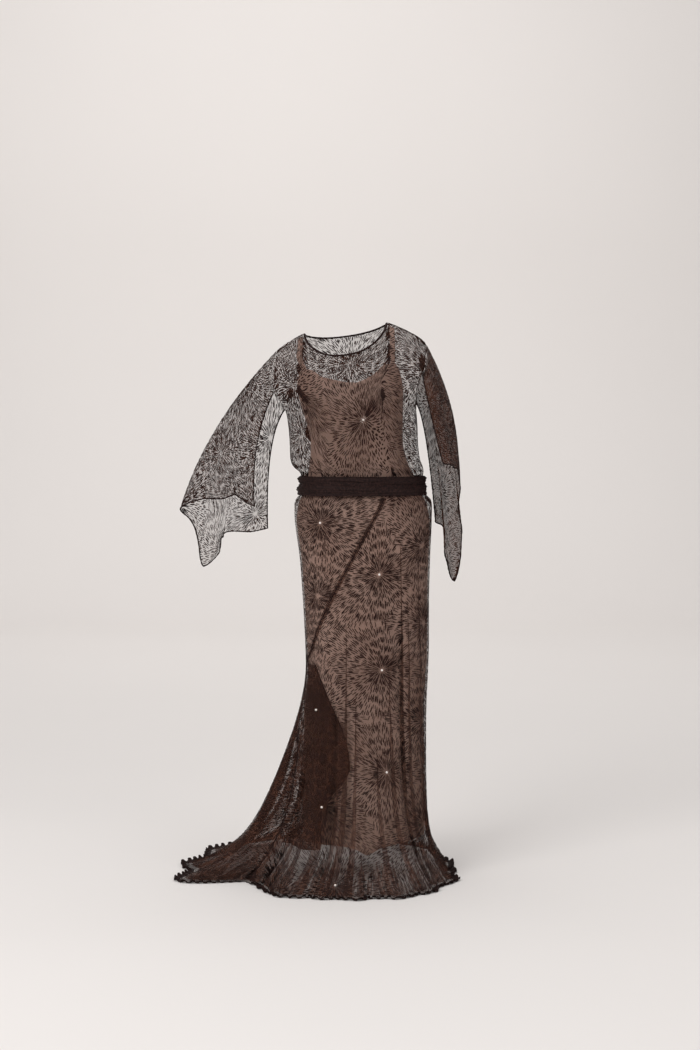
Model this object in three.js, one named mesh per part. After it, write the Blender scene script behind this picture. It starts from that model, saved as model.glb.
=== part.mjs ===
// A sheer evening gown of the early 1930s, worn: a bloused bodice with wing sleeves that hang open
// under the arm, a wound belt, a bias skirt cut by a slanting seam, a gathered train at the right knee,
// a frilled hem and an opaque slip inside. Millimetres, +Z up, the front faces -Y and +X is the
// viewer's right. The origin lies midway between the two points where the neckline meets the shoulders.

import * as THREE from 'three';

// Heights
const floorZ = -1417;
const waistZ = -403;
const trainTopZ = -884;

// Cloth
const netWall = 1.3;
const slipWall = 1.2;
const seamGap = 0.3;

// The point that every angle round the body is measured from: 0 is the viewer's right, 90 the back,
// 180 the viewer's left and 270 the front.
const bodyAxis = { x: 43, y: 0 };

// Skirt, by height: how far its sides, front and back reach, and how square the section is.
const skirtSections = [
  { z: -370, left: -114, right: 201, front: -98, back: 88, power: 2.3 },
  { z: -403, left: -112, right: 198, front: -95, back: 85, power: 2.3 },
  { z: -430, left: -118, right: 206, front: -99, back: 90, power: 2.3 },
  { z: -443, left: -128, right: 218, front: -103, back: 96, power: 2.3 },
  { z: -458, left: -132, right: 222, front: -106, back: 101, power: 2.3 },
  { z: -500, left: -131, right: 223, front: -111, back: 114, power: 2.3 },
  { z: -595, left: -118, right: 219, front: -114, back: 126, power: 2.2 },
  { z: -705, left: -110, right: 216, front: -116, back: 123, power: 2.2 },
  { z: -809, left: -104, right: 216, front: -118, back: 119, power: 2.2 },
  { z: -884, left: -102, right: 214, front: -119, back: 120, power: 2.2 },
  { z: -965, left: -111, right: 210, front: -121, back: 126, power: 2.1 },
  { z: -1069, left: -128, right: 209, front: -125, back: 140, power: 2.1 },
  { z: -1173, left: -152, right: 210, front: -134, back: 165, power: 2.0 },
  { z: -1266, left: -182, right: 215, front: -150, back: 205, power: 2.0 },
  { z: -1336, left: -213, right: 228, front: -184, back: 268, power: 2.0 },
  { z: -1385, left: -244, right: 252, front: -228, back: 348, power: 2.0 },
  { z: -1417, left: -268, right: 274, front: -262, back: 422, power: 2.0 },
];

// The train spreads the hem out between two angles; it starts at the right knee.
const train = {
  fromAngle: 92, risesOver: 52, toAngle: 197, fallsOver: 6.5, reach: 146, topZ: trainTopZ,
  earlyShare: 0.4, earlyPower: 1.5, lateShare: 0.6, latePower: 12,
};

// Folds and flutes of the skirt, as ridges (+) and troughs (-) that grow towards the hem.
const skirtFolds = [
  { top: 350, hem: 356, startZ: -900, depth: -7, width: 4.5 },
  { top: 334, hem: 341, startZ: -640, depth: 10, width: 4.5 },
  { top: 313, hem: 323, startZ: -600, depth: -11, width: 4.5 },
  { top: 300, hem: 309, startZ: -560, depth: 13, width: 5 },
  { top: 288, hem: 290, startZ: -1150, depth: 13, width: 5 },
  { top: 277, hem: 277, startZ: -1120, depth: -9, width: 4.5 },
  { top: 262, hem: 264, startZ: -1040, depth: 10, width: 5 },
  { top: 243, hem: 249, startZ: -690, depth: 10, width: 5 },
  { top: 226, hem: 230, startZ: -1080, depth: 30, width: 10 },
  { top: 207, hem: 206, startZ: -1020, depth: -12, width: 5 },
  { top: 186, hem: 187, startZ: -900, depth: 16, width: 4.5 },
  { top: 178, hem: 177, startZ: -890, depth: -15, width: 4 },
  { top: 169, hem: 166, startZ: -900, depth: 17, width: 4.5 },
  { top: 160, hem: 155, startZ: -930, depth: -15, width: 4.5 },
  { top: 151, hem: 144, startZ: -950, depth: 16, width: 4.5 },
  { top: 142, hem: 134, startZ: -980, depth: -13, width: 4.5 },
  { top: 122, hem: 117, startZ: -880, depth: 16, width: 6 },
  { top: 104, hem: 102, startZ: -800, depth: -12, width: 5.5 },
  { top: 92, hem: 88, startZ: -640, depth: 15, width: 6 },
  { top: 76, hem: 72, startZ: -760, depth: -12, width: 5.5 },
  { top: 62, hem: 57, startZ: -680, depth: 13, width: 5.5 },
  { top: 46, hem: 42, startZ: -900, depth: -10, width: 5.5 },
  { top: 30, hem: 27, startZ: -780, depth: 10, width: 5 },
  { top: 14, hem: 12, startZ: -1000, depth: -8, width: 5 },
];
const foldRise = 1.6;

// The slanting seam, from the waist down to the right knee, then the two edges of the train below it.
const frontSeam = [
  { z: -370, angle: 308 },
  { z: -430, angle: 301 },
  { z: -480, angle: 288 },
  { z: -530, angle: 274 },
  { z: -572, angle: 262 },
  { z: -640, angle: 245 },
  { z: -700, angle: 231 },
  { z: -770, angle: 216 },
  { z: -830, angle: 203 },
  { z: -884, angle: 184 },
  { z: -930, angle: 188 },
  { z: -1069, angle: 195 },
  { z: -1225, angle: 198 },
  { z: -1417, angle: 198 },
];
const backSeam = [
  { z: -370, angle: 52 },
  { z: -430, angle: 60 },
  { z: -530, angle: 85 },
  { z: -640, angle: 115 },
  { z: -770, angle: 144 },
  { z: -830, angle: 158 },
  { z: -884, angle: 176 },
  { z: -930, angle: 168 },
  { z: -1069, angle: 152 },
  { z: -1225, angle: 138 },
  { z: -1417, angle: 128 },
];

// Heights of the rows that all the skirt's pieces share, so that their edges follow each other.
const skirtRows = [
  -403, -430, -446, -500, -580, -680, -760, -830, -884, -930, -1000, -1080,
  -1150, -1215, -1270, -1318, -1356, -1384, -1402, -1412, -1416.1,
];
const skirtColumns = { front: 27, back: 20, yoke: 12, train: 18, trainCrowding: 1.25 };

// A slanting seam runs partly along the angle, so its gap is measured wider there.
const slantedGap = 1.6;

// A second layer of net behind the front, beside the train: its free edge, by height.
const underlapEdge = [
  { z: -866, x: -80 },
  { z: -900, x: -67 },
  { z: -940, x: -51 },
  { z: -985, x: -30 },
  { z: -1030, x: -9 },
  { z: -1085, x: 5 },
  { z: -1126, x: 8 },
  { z: -1160, x: -12 },
  { z: -1190, x: -40 },
  { z: -1220, x: -64 },
  { z: -1318, x: -68 },
];
const underlap = { wall: 1.1, behindTop: 3.6, behindBottom: 7.5, columns: 7, rows: 10, clearOfTrain: 3 };

// Hem frill
const frill = {
  width: 12, waves: 84, step: 8, lift: 7, clear: 0.5, raised: 0.1, averaged: 4,
  notchAngle: 197.5, notchReach: 4.5, notchWidth: 2.5,
};

// Bodice, by height: its side seams, and how far the front and the back stand from them.
const bodiceSides = [
  { z: 30, left: -178, right: 209 },
  { z: -42, left: -178, right: 209 },
  { z: -60, left: -178, right: 211 },
  { z: -91, left: -184, right: 209 },
  { z: -109, left: -187, right: 204 },
  { z: -131, left: -188, right: 191 },
  { z: -165, left: -184, right: 184 },
  { z: -208, left: -157, right: 183 },
  { z: -250, left: -148, right: 186 },
  { z: -300, left: -144, right: 188 },
  { z: -340, left: -142, right: 193 },
  { z: -358, left: -134, right: 200 },
  { z: -370, left: -120, right: 202 },
  { z: -378, left: -114, right: 201 },
  { z: -403, left: -112, right: 198 },
];
const bodiceDepths = [
  { z: 30, front: -20, back: 40 },
  { z: -20, front: -48, back: 58 },
  { z: -73, front: -79, back: 78 },
  { z: -110, front: -106, back: 92 },
  { z: -150, front: -123, back: 99 },
  { z: -200, front: -129, back: 103 },
  { z: -260, front: -125, back: 100 },
  { z: -320, front: -121, back: 97 },
  { z: -355, front: -117, back: 98 },
  { z: -368, front: -106, back: 93 },
  { z: -378, front: -98, back: 88 },
  { z: -403, front: -95, back: 85 },
];

// Armholes, by height: how far their front and back edges stand from the side seam's plane.
const rightArmhole = [
  { z: -58, front: 0, back: 0 },
  { z: -62, front: -12, back: 12 },
  { z: -71, front: -24, back: 24 },
  { z: -90, front: -43, back: 43 },
  { z: -115, front: -56, back: 55 },
  { z: -145, front: -60, back: 60 },
  { z: -168, front: -57, back: 62 },
  { z: -190, front: -42, back: 59 },
  { z: -208, front: -20, back: 44 },
  { z: -220, front: -6, back: 16 },
  { z: -226, front: 0, back: 0 },
  { z: -403, front: 0, back: 0 },
];
const leftArmhole = [
  { z: -42, front: 0, back: 0 },
  { z: -46, front: -13, back: 12 },
  { z: -56, front: -26, back: 26 },
  { z: -74, front: -43, back: 46 },
  { z: -96, front: -57, back: 57 },
  { z: -122, front: -58, back: 62 },
  { z: -150, front: -46, back: 62 },
  { z: -176, front: -26, back: 56 },
  { z: -196, front: -10, back: 36 },
  { z: -208, front: 0, back: 12 },
  { z: -214, front: 0, back: 0 },
  { z: -403, front: 0, back: 0 },
];

// Shoulders and neck, by the share of the bodice's width from the viewer's left.
const shoulders = {
  leftZ: -58, leftNeckZ: -13, rightNeckZ: 16, rightZ: -42,
  leftNeck: 0.1745, rightNeck: 0.745, leftSlope: 0.8, rightSlope: 0.64,
};
const neckline = {
  frontDrop: 75, backDrop: 22, frontRound: 76, backRound: 56, squareness: 2.2, fullness: 0.6,
};
const bodicePower = 2.3;
const bodiceColumns = { shoulder: 4, neck: 12 };
const bodiceCrowding = 1.6;
const bodiceRows = [
  0, 0.05, 0.11, 0.18, 0.25, 0.32, 0.4, 0.48, 0.57, 0.66, 0.75, 0.82, 0.87, 0.91, 0.945, 1,
];

// Soft folds of the bodice, from a point on it towards another, as ridges that rise and then flatten out.
const bodiceFoldShape = { rise: 1.5, flattenFrom: 0.8 };
const bodiceFolds = [
  { share: 0.2, toShare: 0.3, fromV: 0.35, toV: 0.9, depth: 6, width: 0.035 },
  { share: 0.36, toShare: 0.41, fromV: 0.55, toV: 0.9, depth: 5, width: 0.03 },
  { share: 0.55, toShare: 0.52, fromV: 0.5, toV: 0.9, depth: 5, width: 0.035 },
  { share: 0.7, toShare: 0.63, fromV: 0.4, toV: 0.9, depth: 6, width: 0.035 },
  { share: 0.84, toShare: 0.78, fromV: 0.35, toV: 0.9, depth: 6, width: 0.035 },
];

const binding = { height: 6, thickness: 3, sides: 6, clear: 0.5, facingAt: 0.004, upwards: 2 };

// Sleeves: one row for each line down the cloth, from its front edge over the arm to its back edge. A line
// starts at the armhole, at height z on its front (side -1) or back (side 1), and passes two points.
const rightSleeve = [
  { side: -1, z: -166, mid: [-227, -66, -301], end: [-234, -62, -458] },
  { side: -1, z: -150, mid: [-250, -72, -301], end: [-257, -74, -447] },
  { side: -1, z: -129, mid: [-273, -66, -293], end: [-281, -56, -426] },
  { side: -1, z: -108, mid: [-296, -70, -288], end: [-316, -78, -439] },
  { side: -1, z: -87, mid: [-316, -58, -278], end: [-360, -72, -438] },
  { side: -1, z: -70, mid: [-328, -38, -265], end: [-397, -62, -450] },
  { side: 1, z: -58, mid: [-333, -12, -255], end: [-426, -40, -467] },
  { side: 1, z: -70, mid: [-322, 12, -273], end: [-405, -8, -494] },
  { side: 1, z: -90, mid: [-309, 32, -300], end: [-388, 6, -540] },
  { side: 1, z: -116, mid: [-297, 44, -322], end: [-370, 14, -618] },
  { side: 1, z: -145, mid: [-284, 50, -335], end: [-328, 24, -580] },
  { side: 1, z: -168, mid: [-268, 54, -342], end: [-324, 32, -537] },
  { side: 1, z: -184, mid: [-250, 58, -342], end: [-296, 42, -528] },
  { side: 1, z: -198, mid: [-226, 58, -336], end: [-250, 50, -530] },
  { side: 1, z: -208, mid: [-197, 54, -322], end: [-205, 58, -521] },
];
const leftSleeve = [
  { side: -1, z: -121, mid: [219, -80, -222], end: [247, -125, -346] },
  { side: -1, z: -104, mid: [229, -90, -216], end: [258, -138, -350] },
  { side: -1, z: -86, mid: [244, -84, -211], end: [271, -137, -353] },
  { side: -1, z: -66, mid: [262, -54, -206], end: [284, -118, -359] },
  { side: 1, z: -42, mid: [274, -14, -203], end: [290, -84, -372] },
  { side: 1, z: -56, mid: [273, 18, -222], end: [295, -48, -443] },
  { side: 1, z: -74, mid: [264, 40, -240], end: [302, -24, -522] },
  { side: 1, z: -96, mid: [249, 54, -258], end: [280, -2, -655] },
  { side: 1, z: -124, mid: [236, 60, -268], end: [262, 14, -592] },
  { side: 1, z: -156, mid: [226, 62, -274], end: [254, 28, -520] },
  { side: 1, z: -192, mid: [212, 62, -288], end: [236, 42, -504] },
];
// Folds along a sleeve: the line that each follows, counted in rows of its table, and its depth.
const rightSleeveFolds = [
  { line: 2, depth: -9, width: 0.5 },
  { line: 3.4, depth: 8, width: 0.5 },
  { line: 5, depth: -6, width: 0.5 },
  { line: 7.6, depth: 7, width: 0.5 },
  { line: 9.6, depth: -8, width: 0.5 },
  { line: 11.2, depth: 9, width: 0.5 },
  { line: 12.7, depth: -8, width: 0.5 },
];
const leftSleeveFolds = [
  { line: 1.4, depth: -6, width: 0.4 },
  { line: 2.6, depth: 6, width: 0.4 },
  { line: 5.4, depth: 7, width: 0.45 },
  { line: 6.6, depth: -7, width: 0.45 },
  { line: 8, depth: 8, width: 0.45 },
  { line: 9, depth: -7, width: 0.4 },
];
const sleeveGrid = { columnsPerLine: 2, rows: 10, clearOfArmhole: 1.5, foldRise: 1.1 };

// Belt: a strip wound round the waist, in soft folds one above the other.
const belt = {
  topZ: -382, bottomZ: -431, thickness: 7, clear: 0.9, folds: 2, foldDepth: 2.2, foldDrift: 0.8,
  sway: 3, swayFrom: 0.6, unevenness: 1.5, standOff: 2.5, upperInset: 3, lowerInset: 0.5,
  crownPower: 4, steps: 56, facets: 7,
};

// Slip, by height, and its upper edge by angle.
const slipSections = [
  { z: -60, left: -128, right: 146, front: -84, back: 66, power: 2.4 },
  { z: -105, left: -130, right: 151, front: -97, back: 76, power: 2.4 },
  { z: -150, left: -128, right: 151, front: -112, back: 84, power: 2.3 },
  { z: -200, left: -114, right: 149, front: -116, back: 84, power: 2.3 },
  { z: -290, left: -90, right: 148, front: -99, back: 72, power: 2.2 },
  { z: -345, left: -92, right: 160, front: -92, back: 72, power: 2.2 },
  { z: -403, left: -103, right: 186, front: -86, back: 76, power: 2.2 },
  { z: -500, left: -119, right: 211, front: -101, back: 102, power: 2.2 },
  { z: -595, left: -108, right: 209, front: -105, back: 116, power: 2.2 },
  { z: -705, left: -101, right: 207, front: -107, back: 114, power: 2.2 },
  { z: -884, left: -94, right: 205, front: -109, back: 110, power: 2.2 },
  { z: -1000, left: -104, right: 201, front: -111, back: 113, power: 2.1 },
  { z: -1360, left: -109, right: 203, front: -118, back: 126, power: 2.1 },
];
const slipTopEdge = [
  { angle: 0, z: -176 },
  { angle: 12, z: -160 },
  { angle: 22, z: -128 },
  { angle: 30, z: -108 },
  { angle: 38, z: -104 },
  { angle: 48, z: -114 },
  { angle: 65, z: -130 },
  { angle: 90, z: -138 },
  { angle: 120, z: -136 },
  { angle: 145, z: -124 },
  { angle: 158, z: -111 },
  { angle: 165, z: -108 },
  { angle: 170, z: -124 },
  { angle: 175, z: -156 },
  { angle: 180, z: -178 },
  { angle: 190, z: -152 },
  { angle: 196, z: -114 },
  { angle: 203, z: -107 },
  { angle: 212, z: -112 },
  { angle: 226, z: -137 },
  { angle: 245, z: -145 },
  { angle: 262, z: -142 },
  { angle: 285, z: -122 },
  { angle: 300, z: -99 },
  { angle: 312, z: -93 },
  { angle: 323, z: -94 },
  { angle: 332, z: -118 },
  { angle: 344, z: -156 },
  { angle: 360, z: -176 },
];
const slipHem = [
  { angle: 0, z: -1306 },
  { angle: 60, z: -1322 },
  { angle: 120, z: -1326 },
  { angle: 180, z: -1324 },
  { angle: 240, z: -1320 },
  { angle: 262, z: -1328 },
  { angle: 276, z: -1342 },
  { angle: 292, z: -1326 },
  { angle: 330, z: -1312 },
  { angle: 360, z: -1306 },
];
const slipGrid = {
  columns: 17, rows: 11, rowCrowding: 1.15, seam: 0.1, clearOfSkirt: 7, looseAbove: waistZ + 20,
};
// Straps: the angles where they leave the slip, and the share of the bodice's width where they cross
// the shoulder.
const slipStraps = [
  { name: 'slip_strap_right', frontAngle: 201, backAngle: 163, share: 0.15 },
  { name: 'slip_strap_left', frontAngle: 317, backAngle: 35, share: 0.778 },
];
const strap = {
  width: 12, wall: 1.2, steps: 14, underBodice: 6, drops: [3, 24, 52], shoulderSpan: 0.03, levelling: 4,
};

const sheer = (color) => new THREE.MeshStandardMaterial({ color, roughness: 0.85, metalness: 0 });
const finish = {
  net: sheer(0x4d3d39),
  trainNet: sheer(0x3f302d),
  yokeNet: sheer(0x46372f),
  edge: sheer(0x241616),
  belt: sheer(0x1f1414),
  slip: new THREE.MeshStandardMaterial({ color: 0x6b564e, roughness: 0.6, metalness: 0 }),
};

// Small helpers

const lerp = (a, b, t) => a + (b - a) * t;
const radians = (degrees) => (degrees * Math.PI) / 180;
const clamp01 = (t) => Math.min(1, Math.max(0, t));
const smooth = (t) => clamp01(t) ** 2 * (3 - 2 * clamp01(t));
const bump = (distance, width) => Math.exp(-((distance / width) ** 2));
const add = (a, b, scale = 1) => a.map((value, i) => value + b[i] * scale);
const subtract = (a, b) => a.map((value, i) => value - b[i]);
const cross = (a, b) => [a[1] * b[2] - a[2] * b[1], a[2] * b[0] - a[0] * b[2], a[0] * b[1] - a[1] * b[0]];
const unit = (a) => a.map((value) => value / Math.hypot(...a));

// A column of a table at any place along its key, on a smooth curve through the rows.
function read(rows, key, column, at) {
  const rising = rows[rows.length - 1][key] > rows[0][key];
  const before = (a, b) => (rising ? a < b : a > b);
  let i = 0;
  while (i < rows.length - 2 && !before(at, rows[i + 1][key])) i += 1;
  const slope = (j) => {
    const low = rows[Math.max(0, j - 1)];
    const high = rows[Math.min(rows.length - 1, j + 1)];
    return (high[column] - low[column]) / (high[key] - low[key]);
  };
  const span = rows[i + 1][key] - rows[i][key];
  const t = clamp01((at - rows[i][key]) / span);
  const from = rows[i][column];
  const to = rows[i + 1][column];
  // The curve keeps within its rows where they level out.
  const steepest = (3 * (to - from)) / span;
  const tame = (value) => {
    if (value * steepest <= 0) return 0;
    return Math.sign(value) * Math.min(Math.abs(value), Math.abs(steepest));
  };
  const s0 = tame(slope(i)) * span;
  const s1 = tame(slope(i + 1)) * span;
  return from + t * (s0 + t * (3 * (to - from) - 2 * s0 - s1 + t * (s0 + s1 - 2 * (to - from))));
}

// Solids

function solidFrom(points, faces, material, name) {
  let volume = 0;
  for (const [a, b, c] of faces) {
    const normal = cross(points[b], points[c]);
    volume += points[a][0] * normal[0] + points[a][1] * normal[1] + points[a][2] * normal[2];
  }
  const outward = volume < 0 ? faces.map(([a, b, c]) => [a, c, b]) : faces;
  const geometry = new THREE.BufferGeometry();
  geometry.setAttribute('position', new THREE.Float32BufferAttribute(points.flat(), 3));
  geometry.setIndex(outward.flat());
  geometry.computeVertexNormals();
  const mesh = new THREE.Mesh(geometry, material);
  mesh.name = name;
  return mesh;
}

// The direction that a surface faces at (u, v).
function normalOf(surface, u, v) {
  const step = 0.002;
  const along = subtract(surface(Math.min(1, u + step), v), surface(Math.max(0, u - step), v));
  const down = subtract(surface(u, Math.min(1, v + step)), surface(u, Math.max(0, v - step)));
  return unit(cross(along, down));
}

// A wall of cloth: the surface's points moved half the thickness to each side, and closed round its edges.
function clothWall(name, material, surface, { us, vs, thickness, facing }) {
  const normalAt = facing ?? ((u, v) => normalOf(surface, u, v));
  const points = [];
  for (const side of [0.5, -0.5]) {
    for (const v of vs) {
      for (const u of us) points.push(add(surface(u, v), normalAt(u, v), side * thickness));
    }
  }
  const across = us.length;
  const sheet = across * vs.length;
  const at = (i, j, layer) => layer * sheet + j * across + i;
  const faces = [];
  const quad = (a, b, c, d) => faces.push([a, b, c], [a, c, d]);
  for (let j = 0; j < vs.length - 1; j += 1) {
    for (let i = 0; i < across - 1; i += 1) {
      quad(at(i, j, 0), at(i + 1, j, 0), at(i + 1, j + 1, 0), at(i, j + 1, 0));
      quad(at(i, j, 1), at(i, j + 1, 1), at(i + 1, j + 1, 1), at(i + 1, j, 1));
    }
  }
  for (let i = 0; i < across - 1; i += 1) {
    const last = vs.length - 1;
    quad(at(i, 0, 1), at(i + 1, 0, 1), at(i + 1, 0, 0), at(i, 0, 0));
    quad(at(i, last, 0), at(i + 1, last, 0), at(i + 1, last, 1), at(i, last, 1));
  }
  for (let j = 0; j < vs.length - 1; j += 1) {
    const last = across - 1;
    quad(at(0, j, 0), at(0, j + 1, 0), at(0, j + 1, 1), at(0, j, 1));
    quad(at(last, j, 1), at(last, j + 1, 1), at(last, j + 1, 0), at(last, j, 0));
  }
  return solidFrom(points, faces, material, name);
}

// A closed band: sections of equal size, joined one to the next and the last to the first. One side of
// the section may be split along the other diagonals, so that two opposite walls follow each other.
function closedBand(name, material, sections, turnedSide = -1) {
  const points = sections.flat();
  const size = sections[0].length;
  const at = (i, k) => (i % sections.length) * size + (k % size);
  const faces = [];
  for (let i = 0; i < sections.length; i += 1) {
    for (let k = 0; k < size; k += 1) {
      const [a, b, c, d] = [at(i, k), at(i + 1, k), at(i + 1, k + 1), at(i, k + 1)];
      if (k === turnedSide) faces.push([a, b, d], [b, c, d]);
      else faces.push([a, b, c], [a, c, d]);
    }
  }
  return solidFrom(points, faces, material, name);
}

const shares = (count) => Array.from({ length: count + 1 }, (_, i) => i / count);

// Skirt

function sectionRadius(sections, angle, z) {
  const cos = Math.cos(radians(angle));
  const sin = Math.sin(radians(angle));
  const reach = (column) => read(sections, 'z', column, z);
  const sideways = cos >= 0 ? reach('right') - bodyAxis.x : bodyAxis.x - reach('left');
  const foreAft = sin >= 0 ? reach('back') - bodyAxis.y : bodyAxis.y - reach('front');
  const power = reach('power');
  return (Math.abs(cos / sideways) ** power + Math.abs(sin / foreAft) ** power) ** (-1 / power);
}

function trainReach(angle, z) {
  const down = clamp01((train.topZ - z) / (train.topZ - floorZ));
  const grows = train.earlyShare * down ** train.earlyPower + train.lateShare * down ** train.latePower;
  const backEdge = smooth((angle - train.fromAngle) / train.risesOver);
  const frontEdge = smooth((train.toAngle - angle) / train.fallsOver);
  return train.reach * grows * backEdge * frontEdge;
}

function foldReach(angle, z) {
  let total = 0;
  for (const fold of skirtFolds) {
    const down = clamp01((fold.startZ - z) / (fold.startZ - floorZ));
    const centre = lerp(fold.top, fold.hem, down);
    const turn = ((angle - centre + 540) % 360) - 180;
    total += fold.depth * smooth(down * foldRise) * bump(turn, fold.width);
  }
  return total;
}

function skirtPoint(angle, z) {
  const around = ((angle % 360) + 360) % 360;
  const radius = sectionRadius(skirtSections, around, z) + trainReach(around, z) + foldReach(around, z);
  const turn = radians(around);
  return [bodyAxis.x + radius * Math.cos(turn), bodyAxis.y + radius * Math.sin(turn), z];
}

function skirtFacing(angle, z) {
  const turn = 0.4;
  const step = 1;
  const along = subtract(skirtPoint(angle + turn, z), skirtPoint(angle - turn, z));
  const down = subtract(skirtPoint(angle, Math.max(floorZ, z - step)), skirtPoint(angle, z + step));
  return unit(cross(along, down)).map((value) => -value);
}

// A piece of the skirt between two lines of seams. The gap at each seam is shared by its two sides.
function skirtPiece(name, material, { lowAngle, highAngle, rows, us }) {
  const gapAngle = (z) => ((seamGap / 2 / sectionRadius(skirtSections, 270, z)) * 180) / Math.PI;
  const angleAt = (u, z) => {
    const gap = gapAngle(z) * slantedGap;
    return lerp(lowAngle(z) + gap, highAngle(z) - gap, u);
  };
  return clothWall(name, material, (u, z) => skirtPoint(angleAt(u, z), z), {
    us,
    vs: rows,
    thickness: netWall,
    facing: (u, z) => skirtFacing(angleAt(u, z), z),
  });
}

const frontSeamAngle = (z) => read(frontSeam, 'z', 'angle', z);
const backSeamAngle = (z) => read(backSeam, 'z', 'angle', z);
const belowWaist = skirtRows.map((z, i) => (i === 0 ? z - seamGap / 2 : z));
const yokeRows = belowWaist.filter((z) => z >= trainTopZ).map((z) => (z === trainTopZ ? z + seamGap : z));
const trainRows = belowWaist.filter((z) => z <= trainTopZ).map((z) => (z === trainTopZ ? z - seamGap : z));

const trainShares = shares(skirtColumns.train).map((share) => 1 - (1 - share) ** skirtColumns.trainCrowding);

function skirtPieces() {
  return [
    skirtPiece('hip_yoke', finish.yokeNet, {
      lowAngle: backSeamAngle, highAngle: frontSeamAngle, rows: yokeRows, us: shares(skirtColumns.yoke),
    }),
    skirtPiece('skirt_front', finish.net, {
      lowAngle: frontSeamAngle, highAngle: () => 360, rows: belowWaist, us: shares(skirtColumns.front),
    }),
    skirtPiece('skirt_back', finish.net, {
      lowAngle: () => 0, highAngle: backSeamAngle, rows: belowWaist, us: shares(skirtColumns.back),
    }),
    skirtPiece('train_godet', finish.trainNet, {
      lowAngle: backSeamAngle, highAngle: frontSeamAngle, rows: trainRows, us: trainShares,
    }),
  ];
}

// The angle at which the front of the skirt reaches a given x.
function frontAngleAtX(x, z) {
  const halvings = 30;
  let low = 181;
  let high = 300;
  for (let i = 0; i < halvings; i += 1) {
    const middle = (low + high) / 2;
    if (skirtPoint(middle, z)[0] < x) low = middle;
    else high = middle;
  }
  return low;
}

function underlapPanel() {
  const top = underlapEdge[0].z;
  const bottom = underlapEdge[underlapEdge.length - 1].z;
  const surface = (u, v) => {
    const z = lerp(top, bottom, v);
    const free = frontAngleAtX(read(underlapEdge, 'z', 'x', z), z);
    const angle = lerp(frontSeamAngle(z) + underlap.clearOfTrain, free, u);
    const behind = lerp(underlap.behindTop, underlap.behindBottom, smooth(v * 2));
    return add(skirtPoint(angle, z), skirtFacing(angle, z), -behind);
  };
  return clothWall('underlap_panel', finish.trainNet, surface, {
    us: shares(underlap.columns), vs: shares(underlap.rows), thickness: underlap.wall,
  });
}

// The corners of the hem's line, piece by piece, with short steps between them.
function hemSteps() {
  const hemZ = skirtRows[skirtRows.length - 1];
  const [front, back] = [frontSeamAngle(hemZ), backSeamAngle(hemZ)];
  const corners = [
    ...shares(skirtColumns.back).slice(1).map((share) => lerp(0, back, share)),
    ...trainShares.slice(1).map((share) => lerp(back, front, share)),
    ...shares(skirtColumns.front).slice(1).map((share) => lerp(front, 360, share)),
  ].map((angle) => ({ angle, point: skirtPoint(angle, hemZ) }));
  const steps = [];
  let distance = 0;
  corners.forEach(({ angle, point }, i) => {
    const next = corners[(i + 1) % corners.length];
    const length = Math.hypot(...subtract(next.point, point));
    const count = Math.max(1, Math.round(length / frill.step));
    const turn = (next.angle - angle + 360) % 360;
    for (const share of shares(count).slice(0, -1)) {
      steps.push({
        angle: angle + turn * share,
        distance: distance + length * share,
        point: point.map((value, k) => lerp(value, next.point[k], share)),
      });
    }
    distance += length;
  });
  return { steps, total: distance };
}

function hemFrill() {
  const { steps, total } = hemSteps();
  const half = netWall / 2;
  const base = floorZ + half + frill.raised;
  const around = (i) => steps[(i + steps.length) % steps.length].point;
  const awayFrom = (i, spread) => {
    const tangent = subtract(around(i + spread), around(i - spread));
    return unit([tangent[1], -tangent[0], 0]);
  };
  const sections = steps.map(({ angle, distance, point }, i) => {
    const open = smooth((Math.abs(angle - frill.notchAngle) - 1) / frill.notchReach);
    const reach = lerp(frill.notchWidth, frill.width, open);
    const wave = (1 - Math.cos((2 * Math.PI * frill.waves * distance) / total)) / 2;
    const inner = add(point, awayFrom(i, 1), half + frill.clear);
    const outer = add(inner, awayFrom(i, frill.averaged), reach);
    const lifted = base + frill.lift * wave * (reach / frill.width);
    return [
      [inner[0], inner[1], base + half],
      [inner[0], inner[1], base - half],
      [outer[0], outer[1], lifted - half],
      [outer[0], outer[1], lifted + half],
    ];
  });
  const underside = 1;
  return closedBand('hem_frill', finish.edge, sections, underside);
}

// Bodice

function shoulderZ(share) {
  const { leftZ, leftNeckZ, rightNeckZ, rightZ, leftNeck, rightNeck } = shoulders;
  if (share < leftNeck) return lerp(leftZ, leftNeckZ, (share / leftNeck) ** shoulders.leftSlope);
  const fromRight = (1 - share) / (1 - rightNeck);
  if (share > rightNeck) return lerp(rightZ, rightNeckZ, fromRight ** shoulders.rightSlope);
  return lerp(leftNeckZ, rightNeckZ, (share - leftNeck) / (rightNeck - leftNeck));
}

function topEdgeZ(share, drop) {
  const { leftNeck, rightNeck } = shoulders;
  const across = (share - leftNeck) / (rightNeck - leftNeck);
  if (across <= 0 || across >= 1) return shoulderZ(share);
  const scoop = (1 - Math.abs(2 * across - 1) ** neckline.squareness) ** neckline.fullness;
  return shoulderZ(share) - drop * scoop;
}

function bodiceFoldReach(share, v) {
  let total = 0;
  for (const fold of bodiceFolds) {
    const along = (v - fold.fromV) / (fold.toV - fold.fromV);
    const centre = lerp(fold.share, fold.toShare, clamp01(along));
    const { rise, flattenFrom } = bodiceFoldShape;
    const grows = smooth(along * rise) * (1 - smooth((along - flattenFrom) / (1 - flattenFrom)));
    total += fold.depth * grows * bump(share - centre, fold.width);
  }
  return total;
}

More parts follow.
